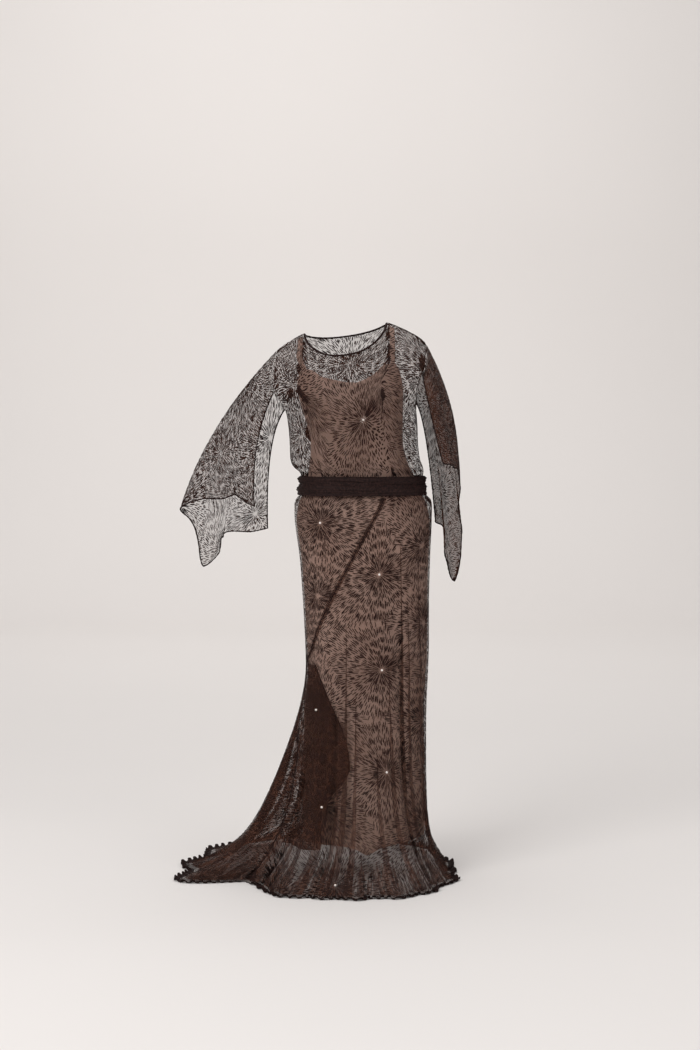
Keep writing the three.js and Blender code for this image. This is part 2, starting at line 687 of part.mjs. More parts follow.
// A point of the bodice's front (face -1) or back (face 1).
function bodicePoint(face, share, v) {
  const column = face < 0 ? 'front' : 'back';
  const drop = face < 0 ? neckline.frontDrop : neckline.backDrop;
  const z = lerp(topEdgeZ(share, drop), waistZ + seamGap / 2, v);
  const x = lerp(read(bodiceSides, 'z', 'left', z), read(bodiceSides, 'z', 'right', z), share);
  const side = lerp(read(rightArmhole, 'z', column, z), read(leftArmhole, 'z', column, z), share);
  const depth = Math.abs(read(bodiceDepths, 'z', column, z) - side) + bodiceFoldReach(share, v);
  const arch = (1 - Math.abs(2 * share - 1) ** bodicePower) ** (1 / bodicePower);
  const round = face < 0 ? neckline.frontRound : neckline.backRound;
  const below = clamp01((shoulderZ(share) - z) / round);
  const rounding = Math.sqrt(1 - (1 - below) ** 2);
  return [x, side + face * (depth * arch * rounding + seamGap / 2), z];
}

function bodiceShares() {
  const { leftNeck, rightNeck } = shoulders;
  const left = shares(bodiceColumns.shoulder).map((t) => leftNeck * t ** bodiceCrowding);
  const middle = shares(bodiceColumns.neck).slice(1).map((t) => lerp(leftNeck, rightNeck, t));
  const right = shares(bodiceColumns.shoulder)
    .slice(1)
    .map((t) => 1 - (1 - rightNeck) * (1 - t) ** bodiceCrowding);
  return [...left, ...middle, ...right];
}

// A point on the straight-stepped side edge of a bodice panel, at a given height.
function bodiceEdge(face, share, z) {
  const edge = bodiceRows.map((v) => bodicePoint(face, share, v));
  let i = 0;
  while (i < edge.length - 2 && edge[i + 1][2] > z) i += 1;
  const t = clamp01((edge[i][2] - z) / (edge[i][2] - edge[i + 1][2]));
  return edge[i].map((value, k) => lerp(value, edge[i + 1][k], t));
}

function bodicePanel(name, face) {
  return clothWall(name, finish.net, (u, v) => bodicePoint(face, u, v), {
    us: bodiceShares(), vs: bodiceRows, thickness: netWall,
  });
}

// A binding that stands on the neckline's edge, from corner to corner of the two panels.
function neckBinding() {
  const { leftNeck, rightNeck } = shoulders;
  const across = shares(bodiceColumns.neck).map((t) => lerp(leftNeck, rightNeck, t));
  const loop = [
    ...across.map((share) => ({ face: -1, share })),
    ...across.slice(1, -1).reverse().map((share) => ({ face: 1, share })),
  ];
  const onEdge = loop.map(({ face, share }) => bodicePoint(face, share, 0));
  const sections = loop.map(({ face, share }, i) => {
    const before = onEdge[(i + loop.length - 1) % loop.length];
    const after = onEdge[(i + 1) % loop.length];
    const facing = normalOf((u, v) => bodicePoint(face, u, v), share, binding.facingAt);
    const faces = facing[2] * binding.upwards + facing[1] * face;
    const outward = faces > 0 ? facing : facing.map((value) => -value);
    const away = unit(cross(outward, subtract(after, before)));
    const centre = add(onEdge[i], away, binding.clear + binding.height / 2);
    return Array.from({ length: binding.sides }, (_, k) => {
      const turn = (2 * Math.PI * (k + 0.5)) / binding.sides;
      const risen = add(centre, away, (Math.cos(turn) * binding.height) / 2);
      return add(risen, outward, (Math.sin(turn) * binding.thickness) / 2);
    });
  });
  return closedBand('neck_binding', finish.edge, sections);
}

// Sleeves

function sleevePanel(name, lines, folds, share) {
  const away = share === 0 ? -1 : 1;
  const rows = lines.map(({ z, mid, end }, i) => {
    const columns = { line: i, z };
    [mid, end].forEach((point, k) => point.forEach((value, axis) => { columns[`${k}${axis}`] = value; }));
    return columns;
  });
  const overTheArm = lines.findIndex(({ side }) => side > 0);
  const smoothLine = (u, key) => read(rows, 'line', key, u * (rows.length - 1));
  const startPoint = (u) => {
    const face = u * (rows.length - 1) < overTheArm ? -1 : 1;
    return add(bodiceEdge(face, share, smoothLine(u, 'z')), [away * sleeveGrid.clearOfArmhole, 0, 0]);
  };
  const plain = (u, v) => {
    const start = startPoint(u);
    return [0, 1, 2].map((axis) => {
      const [mid, end] = [smoothLine(u, `0${axis}`), smoothLine(u, `1${axis}`)];
      return start[axis] * (1 - v) * (1 - 2 * v) + mid * 4 * v * (1 - v) + end * v * (2 * v - 1);
    });
  };
  const surface = (u, v) => {
    const line = u * (rows.length - 1);
    let raised = 0;
    for (const fold of folds) {
      raised += fold.depth * smooth(v * sleeveGrid.foldRise) * bump(line - fold.line, fold.width);
    }
    return add(plain(u, v), normalOf(plain, u, v), raised * away);
  };
  return clothWall(name, finish.net, surface, {
    us: shares((lines.length - 1) * sleeveGrid.columnsPerLine),
    vs: shares(sleeveGrid.rows),
    thickness: netWall,
  });
}

// Belt

function woundBelt() {
  const { topZ, bottomZ, facets } = belt;
  const sections = Array.from({ length: belt.steps }, (_, i) => {
    const angle = (360 * i) / belt.steps;
    const turn = radians(angle);
    const radial = [Math.cos(turn), Math.sin(turn), 0];
    const onBody = (z, out) => {
      const radius = sectionRadius(skirtSections, angle, z) + netWall / 2 + belt.clear + out;
      return [bodyAxis.x + radius * radial[0], bodyAxis.y + radius * radial[1], z];
    };
    const sway = belt.sway * Math.sin(turn + belt.swayFrom) + belt.unevenness * Math.sin(3 * turn);
    const inner = [0, 0.5, 1].map((t) => {
      return onBody(lerp(topZ, bottomZ, t), t < 0.5 ? belt.upperInset : belt.lowerInset);
    });
    const outer = Array.from({ length: facets }, (_, k) => {
      const t = 1 - k / (facets - 1);
      const phase = 2 * Math.PI * belt.folds * t + belt.foldDrift * Math.sin(2 * turn);
      const crown = Math.sqrt(Math.max(0, 1 - (2 * t - 1) ** belt.crownPower));
      const out = belt.standOff + (belt.thickness + belt.foldDepth * Math.sin(phase)) * crown;
      return onBody(lerp(topZ, bottomZ, t) + sway * crown, out);
    });
    return [...inner, ...outer];
  });
  return closedBand('belt', finish.belt, sections);
}

// Slip

function slipPoint(angle, z) {
  const skirt = sectionRadius(skirtSections, angle, z) + Math.min(0, foldReach(angle, z));
  const most = z > slipGrid.looseAbove ? Infinity : skirt - slipGrid.clearOfSkirt;
  const radius = Math.min(sectionRadius(slipSections, angle, z), most);
  const turn = radians(angle);
  return [bodyAxis.x + radius * Math.cos(turn), bodyAxis.y + radius * Math.sin(turn), z];
}

function slipPanel(name, fromAngle, toAngle) {
  const surface = (u, v) => {
    const angle = lerp(fromAngle + slipGrid.seam, toAngle - slipGrid.seam, u);
    const z = lerp(read(slipTopEdge, 'angle', 'z', angle), read(slipHem, 'angle', 'z', angle), v);
    return slipPoint(angle, z);
  };
  return clothWall(name, finish.slip, surface, {
    us: shares(slipGrid.columns),
    vs: shares(slipGrid.rows).map((t) => t ** slipGrid.rowCrowding),
    thickness: slipWall,
  });
}

// A strap runs up from the slip's front edge, close under the bodice over the shoulder, and down behind.
function slipStrap({ name, frontAngle, backAngle, share }) {
  const edgeAt = (angle) => {
    const z = read(slipTopEdge, 'angle', 'z', angle);
    return add(slipPoint(angle, z), [0, 0, seamGap + strap.wall / 2]);
  };
  const under = (face, drop) => {
    const top = shoulderZ(share);
    const v = drop / (top - waistZ);
    const facing = normalOf((a, b) => bodicePoint(face, a, b), share, v);
    const outward = facing[2] + facing[1] * face > 0 ? 1 : -1;
    return add(bodicePoint(face, share, v), facing, -outward * strap.underBodice);
  };
  const route = new THREE.CatmullRomCurve3(
    [
      edgeAt(frontAngle),
      ...[...strap.drops].reverse().map((drop) => under(-1, drop)),
      ...strap.drops.map((drop) => under(1, drop)),
      edgeAt(backAngle),
    ].map((point) => new THREE.Vector3(...point)),
  );
  const onShoulder = (nearby) => [bodicePoint(1, nearby, 0)[0], shoulderZ(nearby)];
  const low = onShoulder(share - strap.shoulderSpan);
  const high = onShoulder(share + strap.shoulderSpan);
  const slope = (high[1] - low[1]) / (high[0] - low[0]);
  const surface = (u, v) => {
    const across = unit([1, 0, slope * (1 - (2 * v - 1) ** strap.levelling)]);
    return add(route.getPoint(v).toArray(), across, (u - 0.5) * strap.width);
  };
  return clothWall(name, finish.slip, surface, { us: [0, 1], vs: shares(strap.steps), thickness: strap.wall });
}

const group = new THREE.Group();
group.add(
  bodicePanel('bodice_front', -1),
  bodicePanel('bodice_back', 1),
  neckBinding(),
  sleevePanel('sleeve_right', rightSleeve, rightSleeveFolds, 0),
  sleevePanel('sleeve_left', leftSleeve, leftSleeveFolds, 1),
  woundBelt(),
  ...skirtPieces(),
  underlapPanel(),
  hemFrill(),
  slipPanel('slip_front', 180, 360),
  slipPanel('slip_back', 0, 180),
  ...slipStraps.map(slipStrap),
);

export default group;
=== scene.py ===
import math
import bpy
import numpy as np
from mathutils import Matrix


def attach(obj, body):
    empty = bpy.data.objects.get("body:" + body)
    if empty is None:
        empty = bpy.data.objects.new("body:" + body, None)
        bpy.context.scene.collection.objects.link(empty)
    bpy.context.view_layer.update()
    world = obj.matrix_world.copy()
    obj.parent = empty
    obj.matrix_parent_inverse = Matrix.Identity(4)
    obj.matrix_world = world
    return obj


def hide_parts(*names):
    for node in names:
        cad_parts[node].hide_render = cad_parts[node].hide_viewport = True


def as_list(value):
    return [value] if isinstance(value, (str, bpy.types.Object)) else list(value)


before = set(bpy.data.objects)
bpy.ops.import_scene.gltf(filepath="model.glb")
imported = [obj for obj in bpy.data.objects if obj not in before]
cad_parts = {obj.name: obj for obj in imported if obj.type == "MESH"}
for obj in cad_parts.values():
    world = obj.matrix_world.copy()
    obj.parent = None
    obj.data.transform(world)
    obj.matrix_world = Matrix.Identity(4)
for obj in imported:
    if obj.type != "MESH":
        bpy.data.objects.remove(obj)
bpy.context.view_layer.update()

metres = 0.001
floorZ = -1417.0
waistZ = -403.0
axisX = 43.0          # every angle round the body is measured from here; 270 is the front
seamGap = 0.3
random = np.random.default_rng(1931)


def lerp(a, b, t):
    return a + (b - a) * t


def smooth(t):
    t = np.clip(t, 0, 1)
    return t * t * (3 - 2 * t)


def bump(distance, width):
    return np.exp(-(distance / width) ** 2)


def read(table, key, name, at):   # a column of a table, on a smooth curve through its rows
    keys = np.array(table[key], float)
    values = np.array(table[name], float)
    if keys[0] > keys[-1]:
        keys, values = keys[::-1], values[::-1]
    index = np.arange(len(keys))
    low, high = np.maximum(index - 1, 0), np.minimum(index + 1, len(keys) - 1)
    slopes = (values[high] - values[low]) / (keys[high] - keys[low])
    at = np.asarray(at, float)
    i = np.clip(np.searchsorted(keys, at, side="right") - 1, 0, len(keys) - 2)
    span = keys[i + 1] - keys[i]
    t = np.clip((at - keys[i]) / span, 0, 1)
    rise = values[i + 1] - values[i]
    steepest = 3 * rise / span

    def tame(slope):
        kept = np.sign(slope) * np.minimum(np.abs(slope), np.abs(steepest))
        return np.where(slope * steepest <= 0, 0, kept) * span

    s0, s1 = tame(slopes[i]), tame(slopes[i + 1])
    return values[i] + t * (s0 + t * (3 * rise - 2 * s0 - s1 + t * (s0 + s1 - 2 * rise)))


def unit(vectors):
    return vectors / np.maximum(np.linalg.norm(vectors, axis=-1, keepdims=True), 1e-9)


def facingOf(surface, u, v, step=0.002):   # the direction that a surface faces
    across = surface(np.minimum(u + step, 1), v) - surface(np.maximum(u - step, 0), v)
    down = surface(u, np.minimum(v + step, 1)) - surface(u, np.maximum(v - step, 0))
    return unit(np.cross(across, down))


def outwardOf(surface, u, v):   # the same, turned away from the body
    points = surface(u, v)
    facing = facingOf(surface, u, v)
    away = points - np.array([axisX, 0, 0])
    away[..., 2] = 0
    return facing * np.where(np.sum(facing * away, axis=-1, keepdims=True) < 0, -1, 1)


# Materials

def newMaterial(name, base, roughness, **sockets):
    material = bpy.data.materials.new(name)
    material.use_nodes = True
    tree = material.node_tree
    tree.nodes.clear()
    output = tree.nodes.new("ShaderNodeOutputMaterial")
    shader = tree.nodes.new("ShaderNodeBsdfPrincipled")
    shader.inputs["Base Color"].default_value = (*base, 1)
    shader.inputs["Roughness"].default_value = roughness
    for socket, value in sockets.items():
        shader.inputs[socket.replace("_", " ")].default_value = value
    tree.links.new(shader.outputs[0], output.inputs[0])
    return material, tree, shader


def addNode(tree, kind, inputs=None, **values):
    node = tree.nodes.new(kind)
    for key, value in values.items():
        setattr(node, key, value)
    for key, value in (inputs or {}).items():
        if hasattr(value, "node"):
            tree.links.new(value, node.inputs[key])
        else:
            node.inputs[key].default_value = value
    return node


def addColours(tree, factor, stops):
    ramp = addNode(tree, "ShaderNodeValToRGB", {"Fac": factor})
    elements = ramp.color_ramp.elements
    while len(elements) < len(stops):
        elements.new(0.5)
    for element, (place, colour) in zip(elements, stops):
        element.position = place
        element.color = (*colour, 1)
    return ramp.outputs["Color"]


def addBump(tree, shader, height, strength, distance):
    node = addNode(tree, "ShaderNodeBump", {"Height": height, "Strength": strength, "Distance": distance})
    tree.links.new(node.outputs[0], shader.inputs["Normal"])


# gathered: the opacity of the gathered net, raised partly for its extra layers and partly as painted floor
# shadow on the dark hem band
netLook = {"dark": (0.055, 0.022, 0.014), "light": (0.105, 0.046, 0.030), "alpha": 0.17, "gathered": 0.58,
           "folded": 0.5, "gloss": 0.08, "threads": 900, "patches": 14}


def netMaterial(name, alpha):   # a fine twisted net, seen as a veil
    material, tree, shader = newMaterial(name, netLook["dark"], 0.8, Alpha=alpha,
                                         Specular_IOR_Level=netLook["gloss"])
    place = addNode(tree, "ShaderNodeTexCoord").outputs["Object"]
    cells = addNode(tree, "ShaderNodeTexVoronoi", {"Vector": place, "Scale": netLook["threads"]},
                    feature="DISTANCE_TO_EDGE")
    patches = addNode(tree, "ShaderNodeTexNoise", {"Vector": place, "Scale": netLook["patches"]})
    colour = addColours(tree, patches.outputs["Fac"], [(0.3, netLook["dark"]), (0.7, netLook["light"])])
    tree.links.new(colour, shader.inputs["Base Color"])
    addBump(tree, shader, cells.outputs["Distance"], 0.4, 0.0004)
    return material


threadLook = {"dark": (0.012, 0.0038, 0.0029), "light": (0.036, 0.0135, 0.0095), "stitches": 16}


def threadMaterial():   # satin stitches that run across each dash
    material, tree, shader = newMaterial("embroidery thread", threadLook["dark"], 0.62,
                                         Specular_IOR_Level=0.16)
    place = addNode(tree, "ShaderNodeUVMap", uv_map="OFBake").outputs["UV"]
    stitches = addNode(tree, "ShaderNodeTexWave", {
        "Vector": place, "Scale": threadLook["stitches"], "Distortion": 1.5, "Detail": 1.0})
    colour = addColours(tree, stitches.outputs["Fac"],
                        [(0.0, threadLook["dark"]), (1.0, threadLook["light"])])
    tree.links.new(colour, shader.inputs["Base Color"])
    addBump(tree, shader, stitches.outputs["Fac"], 0.5, 0.0003)
    return material


slipLook = {"dark": (0.41, 0.265, 0.21), "light": (0.55, 0.375, 0.305), "weave": 1400, "patches": 9}


def slipMaterial():   # a dull crepe-backed satin
    material, tree, shader = newMaterial("slip satin", slipLook["light"], 0.5,
                                         Specular_IOR_Level=0.25)
    place = addNode(tree, "ShaderNodeTexCoord").outputs["Object"]
    patches = addNode(tree, "ShaderNodeTexNoise", {"Vector": place, "Scale": slipLook["patches"]})
    weave = addNode(tree, "ShaderNodeTexNoise", {"Vector": place, "Scale": slipLook["weave"]})
    colour = addColours(tree, patches.outputs["Fac"],
                        [(0.3, slipLook["dark"]), (0.7, slipLook["light"])])
    tree.links.new(colour, shader.inputs["Base Color"])
    addBump(tree, shader, weave.outputs["Fac"], 0.25, 0.0003)
    return material


edgeLook = {"dark": (0.007, 0.0024, 0.002), "light": (0.024, 0.0095, 0.0075), "threads": 420}


def edgeMaterial(name, look, roughness):   # tightly rolled or gathered net
    material, tree, shader = newMaterial(name, look["dark"], roughness,
                                         Specular_IOR_Level=0.14)
    place = addNode(tree, "ShaderNodeTexCoord").outputs["Object"]
    threads = addNode(tree, "ShaderNodeTexNoise", {
        "Vector": place, "Scale": look["threads"], "Detail": 3.0})
    colour = addColours(tree, threads.outputs["Fac"], [(0.35, look["dark"]), (0.72, look["light"])])
    tree.links.new(colour, shader.inputs["Base Color"])
    addBump(tree, shader, threads.outputs["Fac"], 0.6, 0.0006)
    return material


beltLook = {"dark": (0.006, 0.0022, 0.002), "light": (0.030, 0.013, 0.011), "threads": 230}
pearlLook = {"cream": (0.86, 0.82, 0.76), "rose": (0.80, 0.70, 0.66), "clouds": 300}


def pearlMaterial():
    material, tree, shader = newMaterial("pearl", pearlLook["cream"], 0.22,
                                         Coat_Weight=0.6, Coat_Roughness=0.12)
    place = addNode(tree, "ShaderNodeTexCoord").outputs["Object"]
    clouds = addNode(tree, "ShaderNodeTexNoise", {"Vector": place, "Scale": pearlLook["clouds"]})
    colour = addColours(tree, clouds.outputs["Fac"],
                        [(0.35, pearlLook["rose"]), (0.6, pearlLook["cream"])])
    tree.links.new(colour, shader.inputs["Base Color"])
    addBump(tree, shader, clouds.outputs["Fac"], 0.05, 0.0002)
    return material


netCloth = netMaterial("embroidered net", netLook["alpha"])
# the gathered net is darker partly from its layers and partly from painted shade
gatheredShadedNet = netMaterial("gathered net with painted shade", netLook["gathered"])
foldedNet = netMaterial("folded net", netLook["folded"])
threads = threadMaterial()
slipCloth = slipMaterial()
edgeCloth = edgeMaterial("rolled edge", edgeLook, 0.75)
beltCloth = edgeMaterial("wound belt net", beltLook, 0.7)
pearlFinish = pearlMaterial()
print("materials made")


# Meshes

def deselectAll():
    for thing in bpy.context.selected_objects:
        thing.select_set(False)


def makeMesh(name, points, faces, material, uvs=None):
    mesh = bpy.data.meshes.new(name)
    mesh.from_pydata((np.asarray(points) * metres).tolist(), [], faces)
    if uvs is not None:
        layer = mesh.uv_layers.new(name="OFBake")
        loops = np.empty(len(mesh.loops), np.int32)
        mesh.loops.foreach_get("vertex_index", loops)
        layer.data.foreach_set("uv", np.asarray(uvs, np.float32)[loops].ravel())
    mesh.validate()
    piece = bpy.data.objects.new(name, mesh)
    bpy.context.collection.objects.link(piece)
    mesh.materials.append(material)
    mesh.polygons.foreach_set("use_smooth", [True] * len(mesh.polygons))
    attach(piece, "root")
    return piece


def gridFaces(rows, columns, turned, closed=False):
    faces = []
    for j in range(rows - 1):
        for i in range(columns if closed else columns - 1):
            k = (i + 1) % columns
            quad = (j * columns + i, j * columns + k, (j + 1) * columns + k, (j + 1) * columns + i)
            faces.append(quad[::-1] if turned else quad)
    return faces


def clothSheet(name, node, material, surface, columns, rows, thickness, us=None, vs=None):
    us = np.linspace(0, 1, columns) if us is None else us
    vs = np.linspace(0, 1, rows) if vs is None else vs
    u, v = np.meshgrid(us, vs)
    points = surface(u, v)
    j, i = len(vs) // 2, len(us) // 2
    outward = outwardOf(surface, u, v)[j, i]
    across, down = points[j, i + 1] - points[j, i], points[j + 1, i] - points[j, i]
    turned = float(np.dot(np.cross(across, down), outward)) < 0
    piece = makeMesh(name, points.reshape(-1, 3), gridFaces(len(vs), len(us), turned), material)
    deselectAll()
    bpy.context.view_layer.objects.active = piece
    wall = piece.modifiers.new("wall", "SOLIDIFY")
    wall.thickness = thickness * metres
    wall.offset = 0
    bpy.ops.object.modifier_apply(modifier=wall.name)
    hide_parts(node)
    return piece


def tubeFaces(rings, sides, closed):
    faces = []
    for i in range(rings if closed else rings - 1):
        n = (i + 1) % rings
        for k in range(sides):
            m = (k + 1) % sides
            faces.append((i * sides + k, i * sides + m, n * sides + m, n * sides + k))
    if not closed:
        faces.append(tuple(range(sides - 1, -1, -1)))
        faces.append(tuple((rings - 1) * sides + k for k in range(sides)))
    return faces


def rolledEdge(name, line, radius, closed=False, sides=6, flatten=1.0, up=None):   # a rolled, whipped hem
    line = np.asarray(line, float)
    if closed:
        along = unit(np.roll(line, -1, 0) - np.roll(line, 1, 0))
    else:
        along = unit(np.gradient(line, axis=0))
    side = np.array([0.31, 0.52, 0.79]) if up is None else up
    first = unit(np.cross(along, side))
    second = np.cross(along, first)
    wobble = 1 + 0.16 * np.sin(np.arange(len(line)) * 1.7) + 0.1 * random.normal(size=len(line))
    turns = 2 * math.pi * np.arange(sides) / sides
    rings = [line + (radius * wobble)[:, None] * (flatten * math.cos(t) * first + math.sin(t) * second)
             for t in turns]
    points = np.stack(rings, axis=1).reshape(-1, 3)
    faces = tubeFaces(len(line), sides, closed)
    piece = makeMesh(name, points, faces, edgeCloth)
    deselectAll()
    bpy.context.view_layer.objects.active = piece
    piece.select_set(True)
    bpy.ops.object.mode_set(mode="EDIT")
    bpy.ops.mesh.select_all(action="SELECT")
    bpy.ops.mesh.normals_make_consistent(inside=False)
    bpy.ops.object.mode_set(mode="OBJECT")
    return piece


# The embroidery: rings of short dashes round the middle of each star, laid out on the flat cloth

dash = {"length": 17.5, "gap": 4, "width": 2.25, "height": 0.5, "lift": 0.45, "sidePitch": 4.7, "turn": 3,
        "shift": 0.6, "rays": 34, "rayWidth": 1.7, "firstBand": 46, "bandGrowth": 1.45, "reach": 420}
search = {"every": 9, "rounds": 9, "longestStep": 4, "flattest": 1e-4, "near": 5, "frontFirst": 4}
outline = np.array([[-0.5, 0], [-0.24, 0.5], [0.26, 0.44], [0.5, 0], [0.24, -0.5], [-0.26, -0.44],
                    [-0.22, 0], [0.22, 0]])   # six points round a dash and two on its ridge
dashFaces = [(0, 6, 1), (1, 6, 7), (1, 7, 2), (2, 7, 3), (3, 7, 4), (4, 7, 6), (4, 6, 5), (5, 6, 0),
             (0, 1, 2), (0, 2, 3), (0, 3, 4), (0, 4, 5)]


def tableAt(table, row, column):   # between the values of a table, held at its edges
    row = np.clip(row, 0, table.shape[0] - 1.001)
    column = np.clip(column, 0, table.shape[1] - 1.001)
    j, i = row.astype(int), column.astype(int)
    down, along = row - j, column - i
    above = lerp(table[j, i], table[j, i + 1], along)
    return lerp(above, lerp(table[j + 1, i], table[j + 1, i + 1], along), down)


class FlatCloth:   # the way from places on the flat cut to the hanging surface
    def __init__(self, surface, across=260, down=220):
        self.surface = surface
        self.us, self.vs = np.linspace(0, 1, across), np.linspace(0, 1, down)
        u, v = np.meshgrid(self.us, self.vs)
        self.points = surface(u, v)
        steps = np.linalg.norm(np.diff(self.points, axis=1), axis=2)
        lengths = np.concatenate([np.zeros((down, 1)), np.cumsum(steps, axis=1)], axis=1)
        self.s = lengths - lengths[:, [across // 2]]
        drops = np.linalg.norm(np.diff(self.points, axis=0), axis=2)
        self.t = np.concatenate([np.zeros((1, across)), np.cumsum(drops, axis=0)], axis=0)
        self.slopes = [np.gradient(table, axis=axis) for table in (self.s, self.t) for axis in (1, 0)]
        self.size = (float(self.s.max() - self.s.min()), float(self.t.max()))

    def near(self, s, t):   # (u, v) of the closest of a few points of the cut
        rows = np.arange(0, len(self.vs), search["every"])
        columns = np.arange(0, len(self.us), search["every"])
        coarseS, coarseT = self.s[np.ix_(rows, columns)].ravel(), self.t[np.ix_(rows, columns)].ravel()
        closest = np.argmin((s[:, None] - coarseS) ** 2 + (t[:, None] - coarseT) ** 2, axis=1)
        return self.us[columns[closest % len(columns)]], self.vs[rows[closest // len(columns)]]

    def at(self, s, t, u, v):   # (u, v) of flat places, found from a place close by
        across, down = len(self.us) - 1, len(self.vs) - 1
        longest = search["longestStep"]
        for _ in range(search["rounds"]):
            row, column = v * down, u * across
            errorS, errorT = s - tableAt(self.s, row, column), t - tableAt(self.t, row, column)
            su, sv, tu, tv = [tableAt(table, row, column) for table in self.slopes]
            size = su * tv - sv * tu
            size = np.where(np.abs(size) < search["flattest"], search["flattest"], size)
            stepU = np.clip((errorS * tv - errorT * sv) / size, -longest, longest)
            stepV = np.clip((errorT * su - errorS * tu) / size, -longest, longest)
            u, v = np.clip(u + stepU / across, 0, 1), np.clip(v + stepV / down, 0, 1)
        return u, v

    def place(self, s, t):   # (u, v) of flat places, and which of them lie on the cut
        u, v = self.at(s, t, *self.near(s, t))
        row, column = v * (len(self.vs) - 1), u * (len(self.us) - 1)
        off = np.abs(tableAt(self.s, row, column) - s) + np.abs(tableAt(self.t, row, column) - t)
        return u, v, off < search["near"]

    def flat(self, x, z):   # the flat place of the point that shows at (x, z) from the front
        distance = (self.points[..., 0] - x) ** 2 + (self.points[..., 2] - z) ** 2
        distance += search["frontFirst"] * self.points[..., 1]
        j, i = np.unravel_index(np.argmin(distance), distance.shape)
        return float(self.s[j, i]), float(self.t[j, i]), self.points[j, i]


def starRows():   # distance from the middle, turn, length and width of every dash of one star
    rows = []
    for turn in 2 * math.pi * (np.arange(dash["rays"]) + random.random()) / dash["rays"]:
        start, length = random.uniform(4, 8), random.uniform(24, 46)
        rows.append((start + length / 2, turn + random.normal(0, 0.03), length, dash["rayWidth"]))
    inner = dash["firstBand"] * 0.55
    while inner < dash["reach"]:
        outer = inner * dash["bandGrowth"]
        count = round(math.pi * (inner + outer) / dash["sidePitch"])
        for turn in 2 * math.pi * (np.arange(count) + random.random()) / count:
            at = inner + random.uniform(-0.7, 0.3) * dash["length"]
            while at < outer - 3:
                length = dash["length"] * random.normal(1, 0.13)
                middle = at + length / 2
                rows.append((middle, turn + random.normal(0, dash["shift"]) / middle, length,
                             dash["width"] * random.normal(1, 0.1)))
                at += length + dash["gap"] * random.uniform(0.6, 1.5)
        inner = outer
    return np.array(rows)


def starDashes(name, cloth, stars):
    centres = np.array([[s, t] for s, t in stars])
    places, starts, headings, lengths, widths = [], [], [], [], []
    for index, (s, t) in enumerate(stars):
        far, turns, long, wide = starRows().T
        where = np.stack([s + far * np.cos(turns), t + far * np.sin(turns)], axis=1)
        nearest = np.argmin(np.linalg.norm(where[:, None] - centres[None], axis=2), axis=1)
        mine = nearest == index
        us, vs, held = cloth.place(where[mine, 0], where[mine, 1])
        mine[mine] = held
        places.append(where[mine])
        starts.append(np.stack([us[held], vs[held]], axis=1))
        headings.append((turns + np.radians(random.normal(0, dash["turn"], len(turns))))[mine])
        lengths.append(long[mine])
        widths.append(wide[mine])
    places, starts, headings = np.concatenate(places), np.concatenate(starts), np.concatenate(headings)
    lengths, widths = np.concatenate(lengths), np.concatenate(widths)
    along = outline[None, :, 0] * lengths[:, None]
    across = outline[None, :, 1] * widths[:, None]
    cos, sin = np.cos(headings)[:, None], np.sin(headings)[:, None]
    s = places[:, [0]] + along * cos - across * sin
    t = places[:, [1]] + along * sin + across * cos
    u, v = cloth.at(s, t, starts[:, [0]] + 0 * s, starts[:, [1]] + 0 * s)
    points = cloth.surface(u, v)
    facing = outwardOf(cloth.surface, u, v)
    raised = np.where(np.arange(8) > 5, dash["lift"] + dash["height"], dash["lift"])
    points = points + facing * raised[None, :, None]
    spans = np.linalg.norm(points[:, 0] - points[:, 3], axis=1)
    breadths = np.linalg.norm(points[:, 1] - points[:, 5], axis=1)
    good = (spans > 4) & (spans < lengths * 1.9) & (breadths > 0.5) & (breadths < 6)
    points, facing = points[good], facing[good]
    count = len(points)
    sign = np.sum(np.cross(points[:, 1] - points[:, 0], points[:, 5] - points[:, 0]) * facing[:, 0], axis=1)
    flip = float(np.median(sign)) > 0
    faces = (np.array(dashFaces)[None] + 8 * np.arange(count)[:, None, None]).reshape(-1, 3)
    if flip:
        faces = faces[:, ::-1]
    uvs = np.tile(np.stack([outline[:, 0] + 0.5, outline[:, 1] + 0.5], axis=1), (count, 1))
    piece = makeMesh(name, points.reshape(-1, 3), faces.tolist(), threads, uvs)
    print(f"{name}: {count} dashes, flat cut {cloth.size[0]:.0f} by {cloth.size[1]:.0f} mm")
    return piece


def spreadStars(cloth, fixed, spacing):   # stars in staggered rows where the photograph shows none
    stars = list(fixed)
    rows = int(cloth.size[1] / spacing) + 2
    for row in range(rows):
        t = (row + 0.5) * spacing * 0.9
        line = np.arange(cloth.s.min(), cloth.s.max() + spacing, spacing)
        for s in line + (row % 2) * spacing / 2:
            s, place = s + random.normal(0, 16), t + random.normal(0, 16)
            if all(math.hypot(s - a, place - b) > spacing * 0.78 for a, b in stars):
                stars.append((s, place))
    return stars


pearlSize = {"radius": 3.0, "small": 0.9}
pearlPlaces = []


def keepPearls(cloth, stars, radius=None):
    for s, t in stars:
        u, v, held = cloth.place(np.array([s]), np.array([t]))
        if held[0]:
            point = cloth.surface(u, v)[0]
            facing = outwardOf(cloth.surface, u, v)[0]
            size = radius or pearlSize["radius"]
            pearlPlaces.append((point + facing * (size * 0.85 + 0.4), size))


# The skirt

